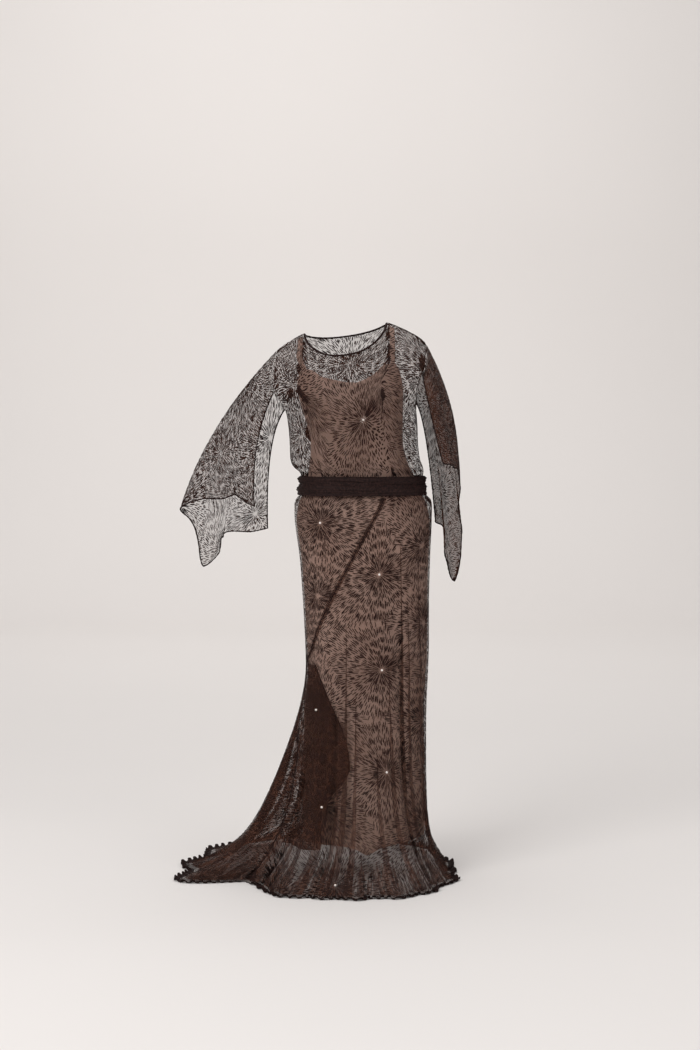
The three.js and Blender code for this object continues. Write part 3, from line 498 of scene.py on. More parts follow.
skirtSections = {
    "z": [-370, -403, -430, -443, -458, -500, -595, -705, -809, -884, -965, -1069, -1173, -1266,
        -1336, -1385, -1417],
    "left": [-114, -112, -118, -128, -132, -131, -118, -110, -104, -102, -111, -128, -152, -182,
        -213, -244, -268],
    "right": [201, 198, 206, 218, 222, 223, 219, 216, 216, 214, 210, 209, 210, 215, 228, 252, 274],
    "front": [-98, -95, -99, -103, -106, -111, -114, -116, -118, -119, -121, -125, -134, -150,
        -184, -228, -262],
    "back": [88, 85, 90, 96, 101, 114, 126, 123, 119, 120, 126, 140, 165, 205, 268, 348, 422],
    "power": [2.3, 2.3, 2.3, 2.3, 2.3, 2.3, 2.2, 2.2, 2.2, 2.2, 2.1, 2.1, 2.0, 2.0, 2.0, 2.0, 2.0],
}
skirtFolds = {
    "top": [350, 334, 313, 300, 288, 277, 262, 243, 226, 207, 186, 178, 169, 160, 151, 142, 122,
        104, 92, 76, 62, 46, 30, 14],
    "hem": [356, 341, 323, 309, 290, 277, 264, 249, 230, 206, 187, 177, 166, 155, 144, 134, 117,
        102, 88, 72, 57, 42, 27, 12],
    "startZ": [-900, -640, -600, -560, -1150, -1120, -1040, -690, -1080, -1020, -900, -890, -900,
        -930, -950, -980, -880, -800, -640, -760, -680, -900, -780, -1000],
    "depth": [-7, 10, -11, 13, 13, -9, 10, 10, 30, -12, 16, -15, 17, -15, 16, -13, 16, -12, 15,
        -12, 13, -10, 10, -8],
    "width": [4.5, 4.5, 4.5, 5, 5, 4.5, 5, 5, 10, 5, 4.5, 4, 4.5, 4.5, 4.5, 4.5, 6, 5.5, 6, 5.5,
        5.5, 5.5, 5, 5],
}
frontSeam = {
    "z": [-370, -430, -480, -530, -572, -640, -700, -770, -830, -884, -930, -1069, -1225, -1417],
    "angle": [308, 301, 288, 274, 262, 245, 231, 216, 203, 184, 188, 195, 198, 198],
}
backSeam = {
    "z": [-370, -430, -530, -640, -770, -830, -884, -930, -1069, -1225, -1417],
    "angle": [52, 60, 85, 115, 144, 158, 176, 168, 152, 138, 128],
}
train = {"fromAngle": 92, "risesOver": 52, "toAngle": 197, "fallsOver": 6.5, "reach": 146, "topZ": -884,
         "earlyShare": 0.4, "earlyPower": 1.5, "lateShare": 0.6, "latePower": 12}
skirt = {"thickness": 0.4, "foldRise": 1.6, "columns": 170, "rows": 104, "yokeColumns": 90, "yokeRows": 62,
         "trainColumns": 160, "trainRows": 78, "crowding": 1.25, "hemZ": -1416.1}


def makeCreases():   # uneven creases by angle: where they start, how deep and how wide they are
    rows = []
    angle = 0.0
    while angle < 360:   # short flutes that the frilled edge pulls into the hem
        onTrain = 128 < angle < 196
        step = random.uniform(2.2, 4.2) if onTrain else random.uniform(3.4, 6.6)
        depth = random.uniform(2.0, 4.6) * (1 if len(rows) % 2 else -1)
        rows.append((angle, angle + random.normal(0, 1.0), random.uniform(-1370, -1250), depth, step * 0.42))
        angle += step
    for place, drift, start, depth, width in [
            (352, 3, -520, -2.4, 3.2), (341, 4, -700, 2.6, 3.0), (328, 2, -560, -2.8, 3.5),
            (318, 6, -830, 2.2, 2.6), (305, 3, -600, -2.6, 3.2), (296, -2, -900, 2.4, 3.0),
            (283, 3, -760, -1.8, 3.4), (270, -3, -820, 2.2, 3.0), (258, -2, -700, -2.2, 3.0),
            (249, 4, -880, 2.4, 2.8), (236, 5, -930, -2.6, 2.8), (219, 2, -960, 2.8, 2.6),
            (204, 0, -990, -2.4, 2.4), (190, 0, -930, 3.0, 2.2), (181, 0, -940, -3.0, 2.0),
            (172, -2, -930, 3.2, 2.2), (163, -3, -960, -3.0, 2.2), (154, -4, -960, 3.0, 2.4),
            (146, -4, -990, -3.0, 2.4), (136, -4, -980, 2.8, 2.4), (110, -3, -760, -2.6, 3.0),
            (97, -3, -700, 2.6, 3.0), (84, -3, -720, -2.6, 3.0), (68, -3, -640, 2.6, 3.0),
            (52, -3, -700, -2.4, 3.0), (37, -3, -820, 2.4, 3.0), (21, -2, -740, -2.2, 3.0)]:
        rows.append((place, place + drift, start, depth, width))
    return rows


creases = makeCreases()
gathers = [(random.uniform(0, 360), random.uniform(-1.6, 1.6), random.uniform(1.4, 2.6)) for _ in range(90)]


def sectionRadius(sections, angle, z):
    turn = np.radians(angle)
    cos, sin = np.cos(turn), np.sin(turn)
    sideways = np.where(cos >= 0, read(sections, "z", "right", z) - axisX,
                        axisX - read(sections, "z", "left", z))
    foreAft = np.where(sin >= 0, read(sections, "z", "back", z), -read(sections, "z", "front", z))
    power = read(sections, "z", "power", z)
    return (np.abs(cos / sideways) ** power + np.abs(sin / foreAft) ** power) ** (-1 / power)


def trainReach(angle, z):
    down = np.clip((train["topZ"] - z) / (train["topZ"] - floorZ), 0, 1)
    early = train["earlyShare"] * down ** train["earlyPower"]
    grows = early + train["lateShare"] * down ** train["latePower"]
    backEdge = smooth((angle - train["fromAngle"]) / train["risesOver"])
    frontEdge = smooth((train["toAngle"] - angle) / train["fallsOver"])
    return train["reach"] * grows * backEdge * frontEdge


def turnFrom(angle, centre):
    return (angle - centre + 540) % 360 - 180


def foldReach(angle, z):
    total = np.zeros(np.broadcast(angle, z).shape)
    for top, hem, startZ, depth, width in zip(*(skirtFolds[key] for key in skirtFolds)):
        down = np.clip((startZ - z) / (startZ - floorZ), 0, 1)
        centre = lerp(top, hem, down)
        total += depth * smooth(down * skirt["foldRise"]) * bump(turnFrom(angle, centre), width)
    return total


def creaseReach(angle, z):
    total = np.zeros(np.broadcast(angle, z).shape)
    for top, hem, startZ, depth, width in creases:
        down = np.clip((startZ - z) / (startZ - floorZ), 0, 1)
        total += depth * smooth(down * 1.3) * bump(turnFrom(angle, lerp(top, hem, down)), width)
    pulled = smooth((z + 500) / 60) * smooth((waistZ - 20 - z) / 14)   # fine gathers under the belt
    if np.any(pulled > 0):
        for place, depth, width in gathers:
            total += depth * pulled * bump(turnFrom(angle, place), width)
    return total


def skirtPoint(angle, z):
    angle = np.asarray(angle, float) % 360
    z = np.asarray(z, float)
    radius = sectionRadius(skirtSections, angle, z) + trainReach(angle, z) + foldReach(angle, z)
    radius = radius + creaseReach(angle, z)
    turn = np.radians(angle)
    return np.stack([axisX + radius * np.cos(turn), radius * np.sin(turn), z + 0 * radius], axis=-1)


def frontSeamAngle(z):
    return read(frontSeam, "z", "angle", z)


def backSeamAngle(z):
    return read(backSeam, "z", "angle", z)


def skirtPanel(low, high, topZ, bottomZ, crowding=1.0):
    def surface(u, v):
        z = lerp(topZ, bottomZ, v)
        gap = 0.15
        share = 1 - (1 - u) ** crowding
        return skirtPoint(lerp(low(z) + gap, high(z) - gap, share), z)
    return surface


def always(angle):
    return lambda z: angle + 0 * z


yokeSurface = skirtPanel(backSeamAngle, frontSeamAngle, waistZ, train["topZ"] + seamGap)
frontSurface = skirtPanel(frontSeamAngle, always(360.0), waistZ, skirt["hemZ"])
backSurface = skirtPanel(always(0.0), backSeamAngle, waistZ, skirt["hemZ"])
trainSurface = skirtPanel(backSeamAngle, frontSeamAngle, train["topZ"] - seamGap, skirt["hemZ"],
                          skirt["crowding"])
lowRows = 1 - (1 - np.linspace(0, 1, skirt["rows"])) ** 1.35   # closer rows near the hem

hipYoke = clothSheet("hipYoke", "hip_yoke", netCloth, yokeSurface,
                     skirt["yokeColumns"], skirt["yokeRows"], skirt["thickness"])
skirtFront = clothSheet("skirtFront", "skirt_front", netCloth, frontSurface,
                        skirt["columns"], skirt["rows"], skirt["thickness"], vs=lowRows)
skirtBack = clothSheet("skirtBack", "skirt_back", netCloth, backSurface,
                       skirt["columns"], skirt["rows"], skirt["thickness"], vs=lowRows)
trainPanel = clothSheet("trainGodet", "train_godet", netCloth, trainSurface,
                        skirt["trainColumns"], skirt["trainRows"], skirt["thickness"])
print("skirt panels made")

starPlaces = {   # where the photograph shows the middle of a star, across and up
    "yoke": [(-63.7, -499)],
    "front": [(85.8, -630.5), (92.3, -873.6), (-75, -979), (105, -1132), (-61, -1217), (-25, -1392),
              (200, -560), (205, -760), (203, -1010), (204, -1270)],
    "spacing": 232}

yokeCloth = FlatCloth(yokeSurface)
yokeStars = spreadStars(yokeCloth, [yokeCloth.flat(*place)[:2] for place in starPlaces["yoke"]],
                        starPlaces["spacing"])
yokeDashes = starDashes("hipYokeDashes", yokeCloth, yokeStars)
keepPearls(yokeCloth, yokeStars[:1])
frontCloth = FlatCloth(frontSurface, 320, 260)
frontStars = spreadStars(frontCloth, [frontCloth.flat(*place)[:2] for place in starPlaces["front"]],
                         starPlaces["spacing"])
frontDashes = starDashes("skirtFrontDashes", frontCloth, frontStars)
keepPearls(frontCloth, frontStars[:6])
backCloth = FlatCloth(backSurface, 320, 260)
backStars = spreadStars(backCloth, [], starPlaces["spacing"])
backDashes = starDashes("skirtBackDashes", backCloth, backStars)
keepPearls(backCloth, backStars[::2])
trainCloth = FlatCloth(trainSurface, 320, 200)
trainStars = spreadStars(trainCloth, [], starPlaces["spacing"])
trainDashes = starDashes("trainGodetDashes", trainCloth, trainStars)
keepPearls(trainCloth, trainStars[:2])
print("skirt embroidery made")


# Seam allowances and the narrow pleats that lie behind the net: a second and third layer of it. All are in
# the gathered net, whose opacity carries painted shade, and the strips round the hem also stand for painted
# floor shadow on the hem band

seams = {"allowance": 3.2, "behind": 0.9, "roll": 1.15, "topZ": -436, "bottomZ": -1405, "rows": 240}
pleatsAndHemShade = {"behind": (1.0, 2.6), "hemCount": 200, "rows": 22, "across": 4, "bottomZ": -1412}
longPleats = [   # angle at the top and at the hem, height of the top, and width at the hem
    (347, 352, -620, 12), (334, 340, -560, 16), (322, 330, -700, 13), (315, 322, -560, 15),
    (300, 305, -860, 12), (287, 288, -1040, 12), (262, 262, -930, 14), (250, 252, -760, 15),
    (243, 246, -980, 13), (232, 236, -900, 16), (221, 226, -960, 14), (212, 214, -940, 16),
    (205, 206, -930, 14), (199, 200, -900, 16), (194, 195, -890, 17), (190, 190, -890, 16),
    (185, 185, -890, 18), (181, 180, -890, 17), (177, 175, -890, 17), (172, 169, -890, 18),
    (167, 162, -900, 17), (161, 155, -920, 17), (155, 148, -940, 17), (149, 141, -960, 17),
    (142, 133, -990, 17), (122, 118, -900, 15), (106, 102, -860, 15), (92, 88, -760, 16),
    (74, 70, -800, 15), (60, 56, -760, 15), (44, 40, -900, 15), (28, 25, -820, 14), (12, 10, -960, 13)]


def stripSurface(centre, halfWidth, topZ, bottomZ, behind):   # a narrow strip of net inside the skirt
    def surface(u, v):
        u, v = np.broadcast_arrays(np.asarray(u, float), np.asarray(v, float))
        z = lerp(topZ, bottomZ, v)
        angle = centre(z) + halfWidth(v) * (2 * u - 1)
        turn = np.radians(angle)
        inward = np.stack([-np.cos(turn), -np.sin(turn), 0 * turn], axis=-1)
        return skirtPoint(angle, z) + inward * behind
    return surface


def seamAllowance(name, seamAngle):
    surface = stripSurface(seamAngle, lambda v: seams["allowance"] * (1 - 0.35 * v), seams["topZ"],
                           seams["bottomZ"], seams["behind"])
    u, v = np.meshgrid(np.linspace(0, 1, 7), np.linspace(0, 1, seams["rows"]))
    faces = gridFaces(seams["rows"], 7, False)
    return makeMesh(name, surface(u, v).reshape(-1, 3), faces, gatheredShadedNet)


def seamLine(name, seamAngle):
    z = np.linspace(seams["topZ"], seams["bottomZ"], 420)
    angle = seamAngle(z)
    turn = np.radians(angle)
    outward = np.stack([np.cos(turn), np.sin(turn), 0 * turn], axis=-1)
    return rolledEdge(name, skirtPoint(angle, z) + outward * 0.5, seams["roll"])


def pleatAndHemShadeStrips():
    rows = list(longPleats)
    # the short strips round the hem darken the hem band: partly its gathered layers, partly painted floor
    # shadow
    for angle in 360 * (np.arange(pleatsAndHemShade["hemCount"]) + 0.5) / pleatsAndHemShade["hemCount"]:
        rows.append((angle + random.normal(0, 0.6), angle + random.normal(0, 0.6),
                     random.uniform(-1392, -1310), random.uniform(6, 17)))
    points, faces = [], []
    shares = np.linspace(0, 1, pleatsAndHemShade["rows"])
    u, v = np.meshgrid(np.linspace(0, 1, pleatsAndHemShade["across"]), shares)
    for top, hem, topZ, width in rows:
        def centre(z, top=top, hem=hem, topZ=topZ):
            return lerp(top, hem, np.clip((topZ - z) / (topZ - pleatsAndHemShade["bottomZ"]), 0, 1))

        degrees = math.degrees(width / 2 / 300)

        def halfWidth(v, degrees=degrees, topZ=topZ):
            return degrees * (0.12 + 0.88 * smooth(v * 1.4)) * (1.6 if topZ > -1300 else 1.0)
        surface = stripSurface(centre, halfWidth, topZ, pleatsAndHemShade["bottomZ"], random.uniform(*pleatsAndHemShade["behind"]))
        base = len(points) * u.size
        points.append(surface(u, v).reshape(-1, 3))
        grid = gridFaces(pleatsAndHemShade["rows"], pleatsAndHemShade["across"], False)
        faces += [tuple(base + i for i in face) for face in grid]
    return makeMesh("pleatsAndHemShade", np.concatenate(points), faces, gatheredShadedNet)


frontAllowance = seamAllowance("frontSeamAllowance", frontSeamAngle)
backAllowance = seamAllowance("backSeamAllowance", backSeamAngle)
frontLine = seamLine("frontSeamLine", frontSeamAngle)
backLine = seamLine("backSeamLine", backSeamAngle)
pleatAndHemShadePiece = pleatAndHemShadeStrips()
print("seams and pleats made")


# A second layer of net beside the train, in the gathered net whose opacity carries painted shade, so that it
# shows as a dark leaf

underlapEdge = {
    "z": [-866, -900, -940, -985, -1030, -1085, -1126, -1160, -1190, -1220, -1318],
    "x": [-80, -67, -51, -30, -9, 5, 8, -12, -40, -64, -68],
}
underlap = {"behindTop": 3.6, "behindBottom": 7.5, "clearOfTrain": 3, "columns": 60, "rows": 90,
            "thickness": 0.4}


def frontAngleAtX(x, z):
    low, high = np.full(x.shape, 181.0), np.full(x.shape, 300.0)
    for _ in range(26):
        middle = (low + high) / 2
        radius = sectionRadius(skirtSections, middle, z) + trainReach(middle, z) + foldReach(middle, z)
        short = axisX + radius * np.cos(np.radians(middle)) < x
        low, high = np.where(short, middle, low), np.where(short, high, middle)
    return low


def underlapSurface(u, v):
    z = lerp(underlapEdge["z"][0], underlapEdge["z"][-1], v)
    free = frontAngleAtX(read(underlapEdge, "z", "x", z), z)
    angle = lerp(frontSeamAngle(z) + underlap["clearOfTrain"], free, u)
    behind = lerp(underlap["behindTop"], underlap["behindBottom"], smooth(v * 2))
    point = skirtPoint(angle, z)
    turn = np.radians(angle)
    inward = np.stack([-np.cos(turn), -np.sin(turn), 0 * turn], axis=-1)
    return point + inward * behind[..., None]


underlapPanel = clothSheet("underlapPanel", "underlap_panel", gatheredShadedNet, underlapSurface,
                           underlap["columns"], underlap["rows"], underlap["thickness"])
underlapCloth = FlatCloth(underlapSurface, 120, 160)
underlapStars = spreadStars(underlapCloth, [], 150)
underlapDashes = starDashes("underlapDashes", underlapCloth, underlapStars)
edgeShares = np.linspace(0, 1, 150)
underlapHem = rolledEdge("underlapHem", underlapSurface(np.ones(150), edgeShares), 1.5)
print("underlap made")


# The frilled edge of the hem

frill = {"width": 15, "lift": 9, "clear": 0.5, "waveLength": 21, "across": 7, "step": 2.2, "thickness": 0.9,
         "notchAngle": 197.5, "notchReach": 4.5, "notchWidth": 2.5, "averaged": 9}


def hemLine():
    angles = np.linspace(0, 360, 3600, endpoint=False)
    points = skirtPoint(angles, np.full(angles.shape, skirt["hemZ"]))
    lengths = np.concatenate([[0], np.cumsum(np.linalg.norm(np.roll(points, -1, 0) - points, axis=1))])
    count = int(lengths[-1] / frill["step"])
    at = np.linspace(0, lengths[-1], count, endpoint=False)
    wrapped = np.concatenate([points, points[:1]])
    spaced = np.stack([np.interp(at, lengths, wrapped[:, k]) for k in range(3)], axis=1)
    return spaced, np.interp(at, lengths, np.append(angles, 360.0)), at


def hemFrill():
    line, angles, distance = hemLine()

    def awayFrom(spread):
        tangent = np.roll(line, -spread, 0) - np.roll(line, spread, 0)
        return unit(np.stack([tangent[:, 1], -tangent[:, 0], 0 * tangent[:, 0]], axis=1))

    inner = line + awayFrom(2) * (0.2 + frill["clear"])
    away = awayFrom(frill["averaged"])
    open_ = smooth((np.abs(angles - frill["notchAngle"]) - 1) / frill["notchReach"])
    reach = lerp(frill["notchWidth"], frill["width"], open_)
    drift = np.cumsum(random.normal(0, 0.05, len(line)))
    drift = drift - np.linspace(0, drift[-1], len(line))
    waves = round(distance[-1] / frill["waveLength"])
    phase = 2 * math.pi * waves * np.arange(len(line)) / len(line) + drift * 2
    tangent = unit(np.roll(line, -1, 0) - np.roll(line, 1, 0))
    base = floorZ + 0.9
    rows = []
    for share in np.linspace(0, 1, frill["across"]):
        point = inner + away * (reach * share)[:, None]
        wave = (1 - np.cos(phase)) / 2
        point = point + tangent * (2.6 * share * np.sin(phase * 2 + 0.6))[:, None]
        point[:, 2] = base + frill["lift"] * wave * share ** 1.2 * reach / frill["width"]
        rows.append(point)
    points = np.concatenate(rows)
    piece = makeMesh("hemFrill", points, gridFaces(len(rows), len(line), False, True), edgeCloth)
    wall = piece.modifiers.new("wall", "SOLIDIFY")
    wall.thickness = frill["thickness"] * metres
    wall.offset = 0
    deselectAll()
    bpy.context.view_layer.objects.active = piece
    bpy.ops.object.modifier_apply(modifier=wall.name)
    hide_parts("hem_frill")
    return piece


frillPiece = hemFrill()
print("frill made")


# The bodice

bodiceSides = {
    "z": [30, -42, -60, -91, -109, -131, -165, -208, -250, -300, -340, -358, -370, -378, -403],
    "left": [-178, -178, -178, -184, -187, -188, -184, -157, -148, -144, -142, -134, -120, -114,
        -112],
    "right": [209, 209, 211, 209, 204, 191, 184, 183, 186, 188, 193, 200, 202, 201, 198],
}
bodiceDepths = {
    "z": [30, -20, -73, -110, -150, -200, -260, -320, -355, -368, -378, -403],
    "front": [-20, -48, -79, -106, -123, -129, -125, -121, -117, -106, -98, -95],
    "back": [40, 58, 78, 92, 99, 103, 100, 97, 98, 93, 88, 85],
}
rightArmhole = {
    "z": [-58, -62, -71, -90, -115, -145, -168, -190, -208, -220, -226, -403],
    "front": [0, -12, -24, -43, -56, -60, -57, -42, -20, -6, 0, 0],
    "back": [0, 12, 24, 43, 55, 60, 62, 59, 44, 16, 0, 0],
}
leftArmhole = {
    "z": [-42, -46, -56, -74, -96, -122, -150, -176, -196, -208, -214, -403],
    "front": [0, -13, -26, -43, -57, -58, -46, -26, -10, 0, 0, 0],
    "back": [0, 12, 26, 46, 57, 62, 62, 56, 36, 12, 0, 0],
}
bodiceFolds = {
    "share": [0.2, 0.36, 0.55, 0.7, 0.84],
    "toShare": [0.3, 0.41, 0.52, 0.63, 0.78],
    "fromV": [0.35, 0.55, 0.5, 0.4, 0.35],
    "toV": [0.9, 0.9, 0.9, 0.9, 0.9],
    "depth": [6, 5, 5, 6, 6],
    "width": [0.035, 0.03, 0.035, 0.035, 0.035],
}
shoulders = {"leftZ": -58, "leftNeckZ": -13, "rightNeckZ": 16, "rightZ": -42, "leftNeck": 0.1745,
             "rightNeck": 0.745, "leftSlope": 0.8, "rightSlope": 0.64}
neckline = {"frontDrop": 75, "backDrop": 22, "frontRound": 76, "backRound": 56, "squareness": 2.2,
            "fullness": 0.6}
bodice = {"power": 2.3, "rise": 1.5, "flattenFrom": 0.8, "columns": 118, "rows": 84, "thickness": 0.4}
bodiceCreases = [   # shares across and down at both ends, depth and width: drag lines and waist gathers
    (0.08, 0.42, 0.26, 0.78, 2.6, 0.022), (0.13, 0.36, 0.34, 0.66, -2.0, 0.020),
    (0.30, 0.30, 0.22, 0.62, 1.8, 0.022), (0.90, 0.36, 0.78, 0.74, 2.4, 0.022),
    (0.84, 0.30, 0.70, 0.62, -2.0, 0.020), (0.62, 0.34, 0.72, 0.70, 1.6, 0.022),
    (0.45, 0.48, 0.38, 0.82, -1.8, 0.020), (0.56, 0.52, 0.60, 0.84, 1.8, 0.020)]
waistGathers = [(share, random.uniform(1.4, 3.4) * sign, random.uniform(0.008, 0.014))
                for share, sign in zip(np.linspace(0.03, 0.97, 30), [1, -1] * 15)]


def shoulderZ(share):
    left = lerp(shoulders["leftZ"], shoulders["leftNeckZ"],
                np.clip(share / shoulders["leftNeck"], 0, 1) ** shoulders["leftSlope"])
    fromRight = np.clip((1 - share) / (1 - shoulders["rightNeck"]), 0, 1)
    right = lerp(shoulders["rightZ"], shoulders["rightNeckZ"], fromRight ** shoulders["rightSlope"])
    across = (share - shoulders["leftNeck"]) / (shoulders["rightNeck"] - shoulders["leftNeck"])
    between = lerp(shoulders["leftNeckZ"], shoulders["rightNeckZ"], across)
    beside = np.where(share > shoulders["rightNeck"], right, between)
    return np.where(share < shoulders["leftNeck"], left, beside)


def topEdgeZ(share, drop):
    across = (share - shoulders["leftNeck"]) / (shoulders["rightNeck"] - shoulders["leftNeck"])
    inside = np.clip(1 - np.abs(2 * np.clip(across, 0, 1) - 1) ** neckline["squareness"], 0, 1)
    return shoulderZ(share) - drop * inside ** neckline["fullness"]


def bodiceFoldReach(share, v):
    total = np.zeros(np.broadcast(share, v).shape)
    for start, end, fromV, toV, depth, width in zip(*(bodiceFolds[key] for key in bodiceFolds)):
        along = (v - fromV) / (toV - fromV)
        centre = lerp(start, end, np.clip(along, 0, 1))
        fades = 1 - smooth((along - bodice["flattenFrom"]) / (1 - bodice["flattenFrom"]))
        total += depth * smooth(along * bodice["rise"]) * fades * bump(share - centre, width)
    return total


def bodiceCreaseReach(share, v):
    total = np.zeros(np.broadcast(share, v).shape)
    for fromShare, fromV, toShare, toV, depth, width in bodiceCreases:
        along = np.clip((v - fromV) / (toV - fromV), 0, 1)
        total += depth * np.sin(math.pi * along) * bump(share - lerp(fromShare, toShare, along), width)
    waist = smooth((v - 0.72) / 0.16) * (1 - smooth((v - 0.94) / 0.06))
    for place, depth, width in waistGathers:
        total += depth * waist * bump(share - place, width)
    return total


def bodiceSurface(face, creased=True):
    column = "front" if face < 0 else "back"
    drop = neckline["frontDrop"] if face < 0 else neckline["backDrop"]
    roundness = neckline["frontRound"] if face < 0 else neckline["backRound"]

    def surface(share, v):
        share, v = np.broadcast_arrays(np.asarray(share, float), np.asarray(v, float))
        z = lerp(topEdgeZ(share, drop), waistZ + seamGap / 2, v)
        x = lerp(read(bodiceSides, "z", "left", z), read(bodiceSides, "z", "right", z), share)
        side = lerp(read(rightArmhole, "z", column, z), read(leftArmhole, "z", column, z), share)
        depth = np.abs(read(bodiceDepths, "z", column, z) - side) + bodiceFoldReach(share, v)
        if creased:
            depth = depth + bodiceCreaseReach(share, v)
        arch = np.clip(1 - np.abs(2 * share - 1) ** bodice["power"], 0, 1) ** (1 / bodice["power"])
        below = np.clip((shoulderZ(share) - z) / roundness, 0, 1)
        rounding = np.sqrt(1 - (1 - below) ** 2)
        return np.stack([x, side + face * (depth * arch * rounding + seamGap / 2), z], axis=-1)
    return surface


sideShares = (1 - np.cos(math.pi * np.linspace(0, 1, bodice["columns"]))) / 2   # closer at the sides
bodiceParts = {}
for name, node, face in (("bodiceFront", "bodice_front", -1), ("bodiceBack", "bodice_back", 1)):
    surface = bodiceSurface(face)
    panel = clothSheet(name, node, netCloth, surface, 0, bodice["rows"], bodice["thickness"],
                       us=sideShares)
    cloth = FlatCloth(surface, 300, 240)
    fixed = [cloth.flat(45.5, -236.6)[:2], cloth.flat(-130, -150)[:2]] if face < 0 else []
    stars = spreadStars(cloth, fixed, 225)
    dashes = starDashes(name + "Dashes", cloth, stars)
    keepPearls(cloth, stars[:1] if face < 0 else stars[1::3])
    bodiceParts[name] = (panel, dashes, cloth)
print("bodice made")


# The neckline's rolled binding

binding = {"height": 6, "thickness": 3, "clear": 0.5, "steps": 110, "sides": 10}


def neckBinding():
    across = np.linspace(shoulders["leftNeck"], shoulders["rightNeck"], binding["steps"])
    front, back = bodiceSurface(-1, False), bodiceSurface(1, False)
    edge, outs = [], []
    for surface, shares, face in ((front, across, -1), (back, across[::-1][1:-1], 1)):
        facing = facingOf(surface, shares, np.full(shares.shape, 0.004))
        facing = facing * np.where(facing[:, 2:] * 2 + facing[:, 1:2] * face > 0, 1, -1)
        edge.append(surface(shares, np.zeros(shares.shape)))
        outs.append(facing)
    edge, outs = np.concatenate(edge), np.concatenate(outs)
    for _ in range(6):
        outs = unit(outs + np.roll(outs, 1, 0) + np.roll(outs, -1, 0))
    tangent = unit(np.roll(edge, -2, 0) - np.roll(edge, 2, 0))
    away = unit(np.cross(outs, tangent))
    centre = edge + away * (binding["clear"] + binding["height"] / 2)
    wobble = 1 + 0.06 * np.sin(np.arange(len(edge)) * 0.9) + 0.04 * random.normal(size=len(edge))
    rings = []
    for k in range(binding["sides"]):
        turn = 2 * math.pi * (k + 0.5) / binding["sides"]
        rise = (math.cos(turn) * binding["height"] / 2 * wobble)[:, None]
        out = (math.sin(turn) * binding["thickness"] / 2 * wobble)[:, None]
        rings.append(centre + away * rise + outs * out)
    points = np.stack(rings, axis=1).reshape(-1, 3)
    piece = makeMesh("neckBinding", points, tubeFaces(len(edge), binding["sides"], True), edgeCloth)
    deselectAll()
    bpy.context.view_layer.objects.active = piece
    piece.select_set(True)
    bpy.ops.object.mode_set(mode="EDIT")
    bpy.ops.mesh.select_all(action="SELECT")
    bpy.ops.mesh.normals_make_consistent(inside=False)
    bpy.ops.object.mode_set(mode="OBJECT")
    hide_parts("neck_binding")
    return piece


bindingPiece = neckBinding()
print("binding made")


# Sleeves: one line for each row, from the armhole over two points

rightSleeve = {
    "side": [-1, -1, -1, -1, -1, -1, 1, 1, 1, 1, 1, 1, 1, 1, 1],
    "z": [-166, -150, -129, -108, -87, -70, -58, -70, -90, -116, -145, -168, -184, -198, -208],
    "mid": [[-227, -66, -301], [-250, -72, -301], [-273, -66, -293], [-296, -70, -288],
        [-316, -58, -278], [-328, -38, -265], [-333, -12, -255], [-322, 12, -273],
        [-309, 32, -300], [-297, 44, -322], [-284, 50, -335], [-268, 54, -342], [-250, 58, -342],
        [-226, 58, -336], [-197, 54, -322]],
    "end": [[-234, -62, -458], [-257, -74, -447], [-281, -56, -426], [-316, -78, -439],
        [-360, -72, -438], [-397, -62, -450], [-426, -40, -467], [-405, -8, -494], [-388, 6, -540],
        [-370, 14, -618], [-328, 24, -580], [-324, 32, -537], [-296, 42, -528], [-250, 50, -530],
        [-205, 58, -521]],
}
leftSleeve = {
    "side": [-1, -1, -1, -1, 1, 1, 1, 1, 1, 1, 1],
    "z": [-121, -104, -86, -66, -42, -56, -74, -96, -124, -156, -192],
    "mid": [[219, -80, -222], [229, -90, -216], [244, -84, -211], [262, -54, -206],
        [274, -14, -203], [273, 18, -222], [264, 40, -240], [249, 54, -258], [236, 60, -268],
        [226, 62, -274], [212, 62, -288]],
    "end": [[247, -125, -346], [258, -138, -350], [271, -137, -353], [284, -118, -359],
        [290, -84, -372], [295, -48, -443], [302, -24, -522], [280, -2, -655], [262, 14, -592],
        [254, 28, -520], [236, 42, -504]],
}
rightSleeveFolds = {
    "line": [2, 3.4, 5, 7.6, 9.6, 11.2, 12.7],
    "depth": [-9, 8, -6, 7, -8, 9, -8],
    "width": [0.5, 0.5, 0.5, 0.5, 0.5, 0.5, 0.5],
}
leftSleeveFolds = {
    "line": [1.4, 2.6, 5.4, 6.6, 8, 9],
    "depth": [-6, 6, 7, -7, 8, -7],
    "width": [0.4, 0.4, 0.45, 0.45, 0.45, 0.4],
}
sleeve = {"clear": 1.5, "foldRise": 1.1, "columnsPerLine": 9, "rows": 80, "thickness": 0.4, "roll": 1.7}


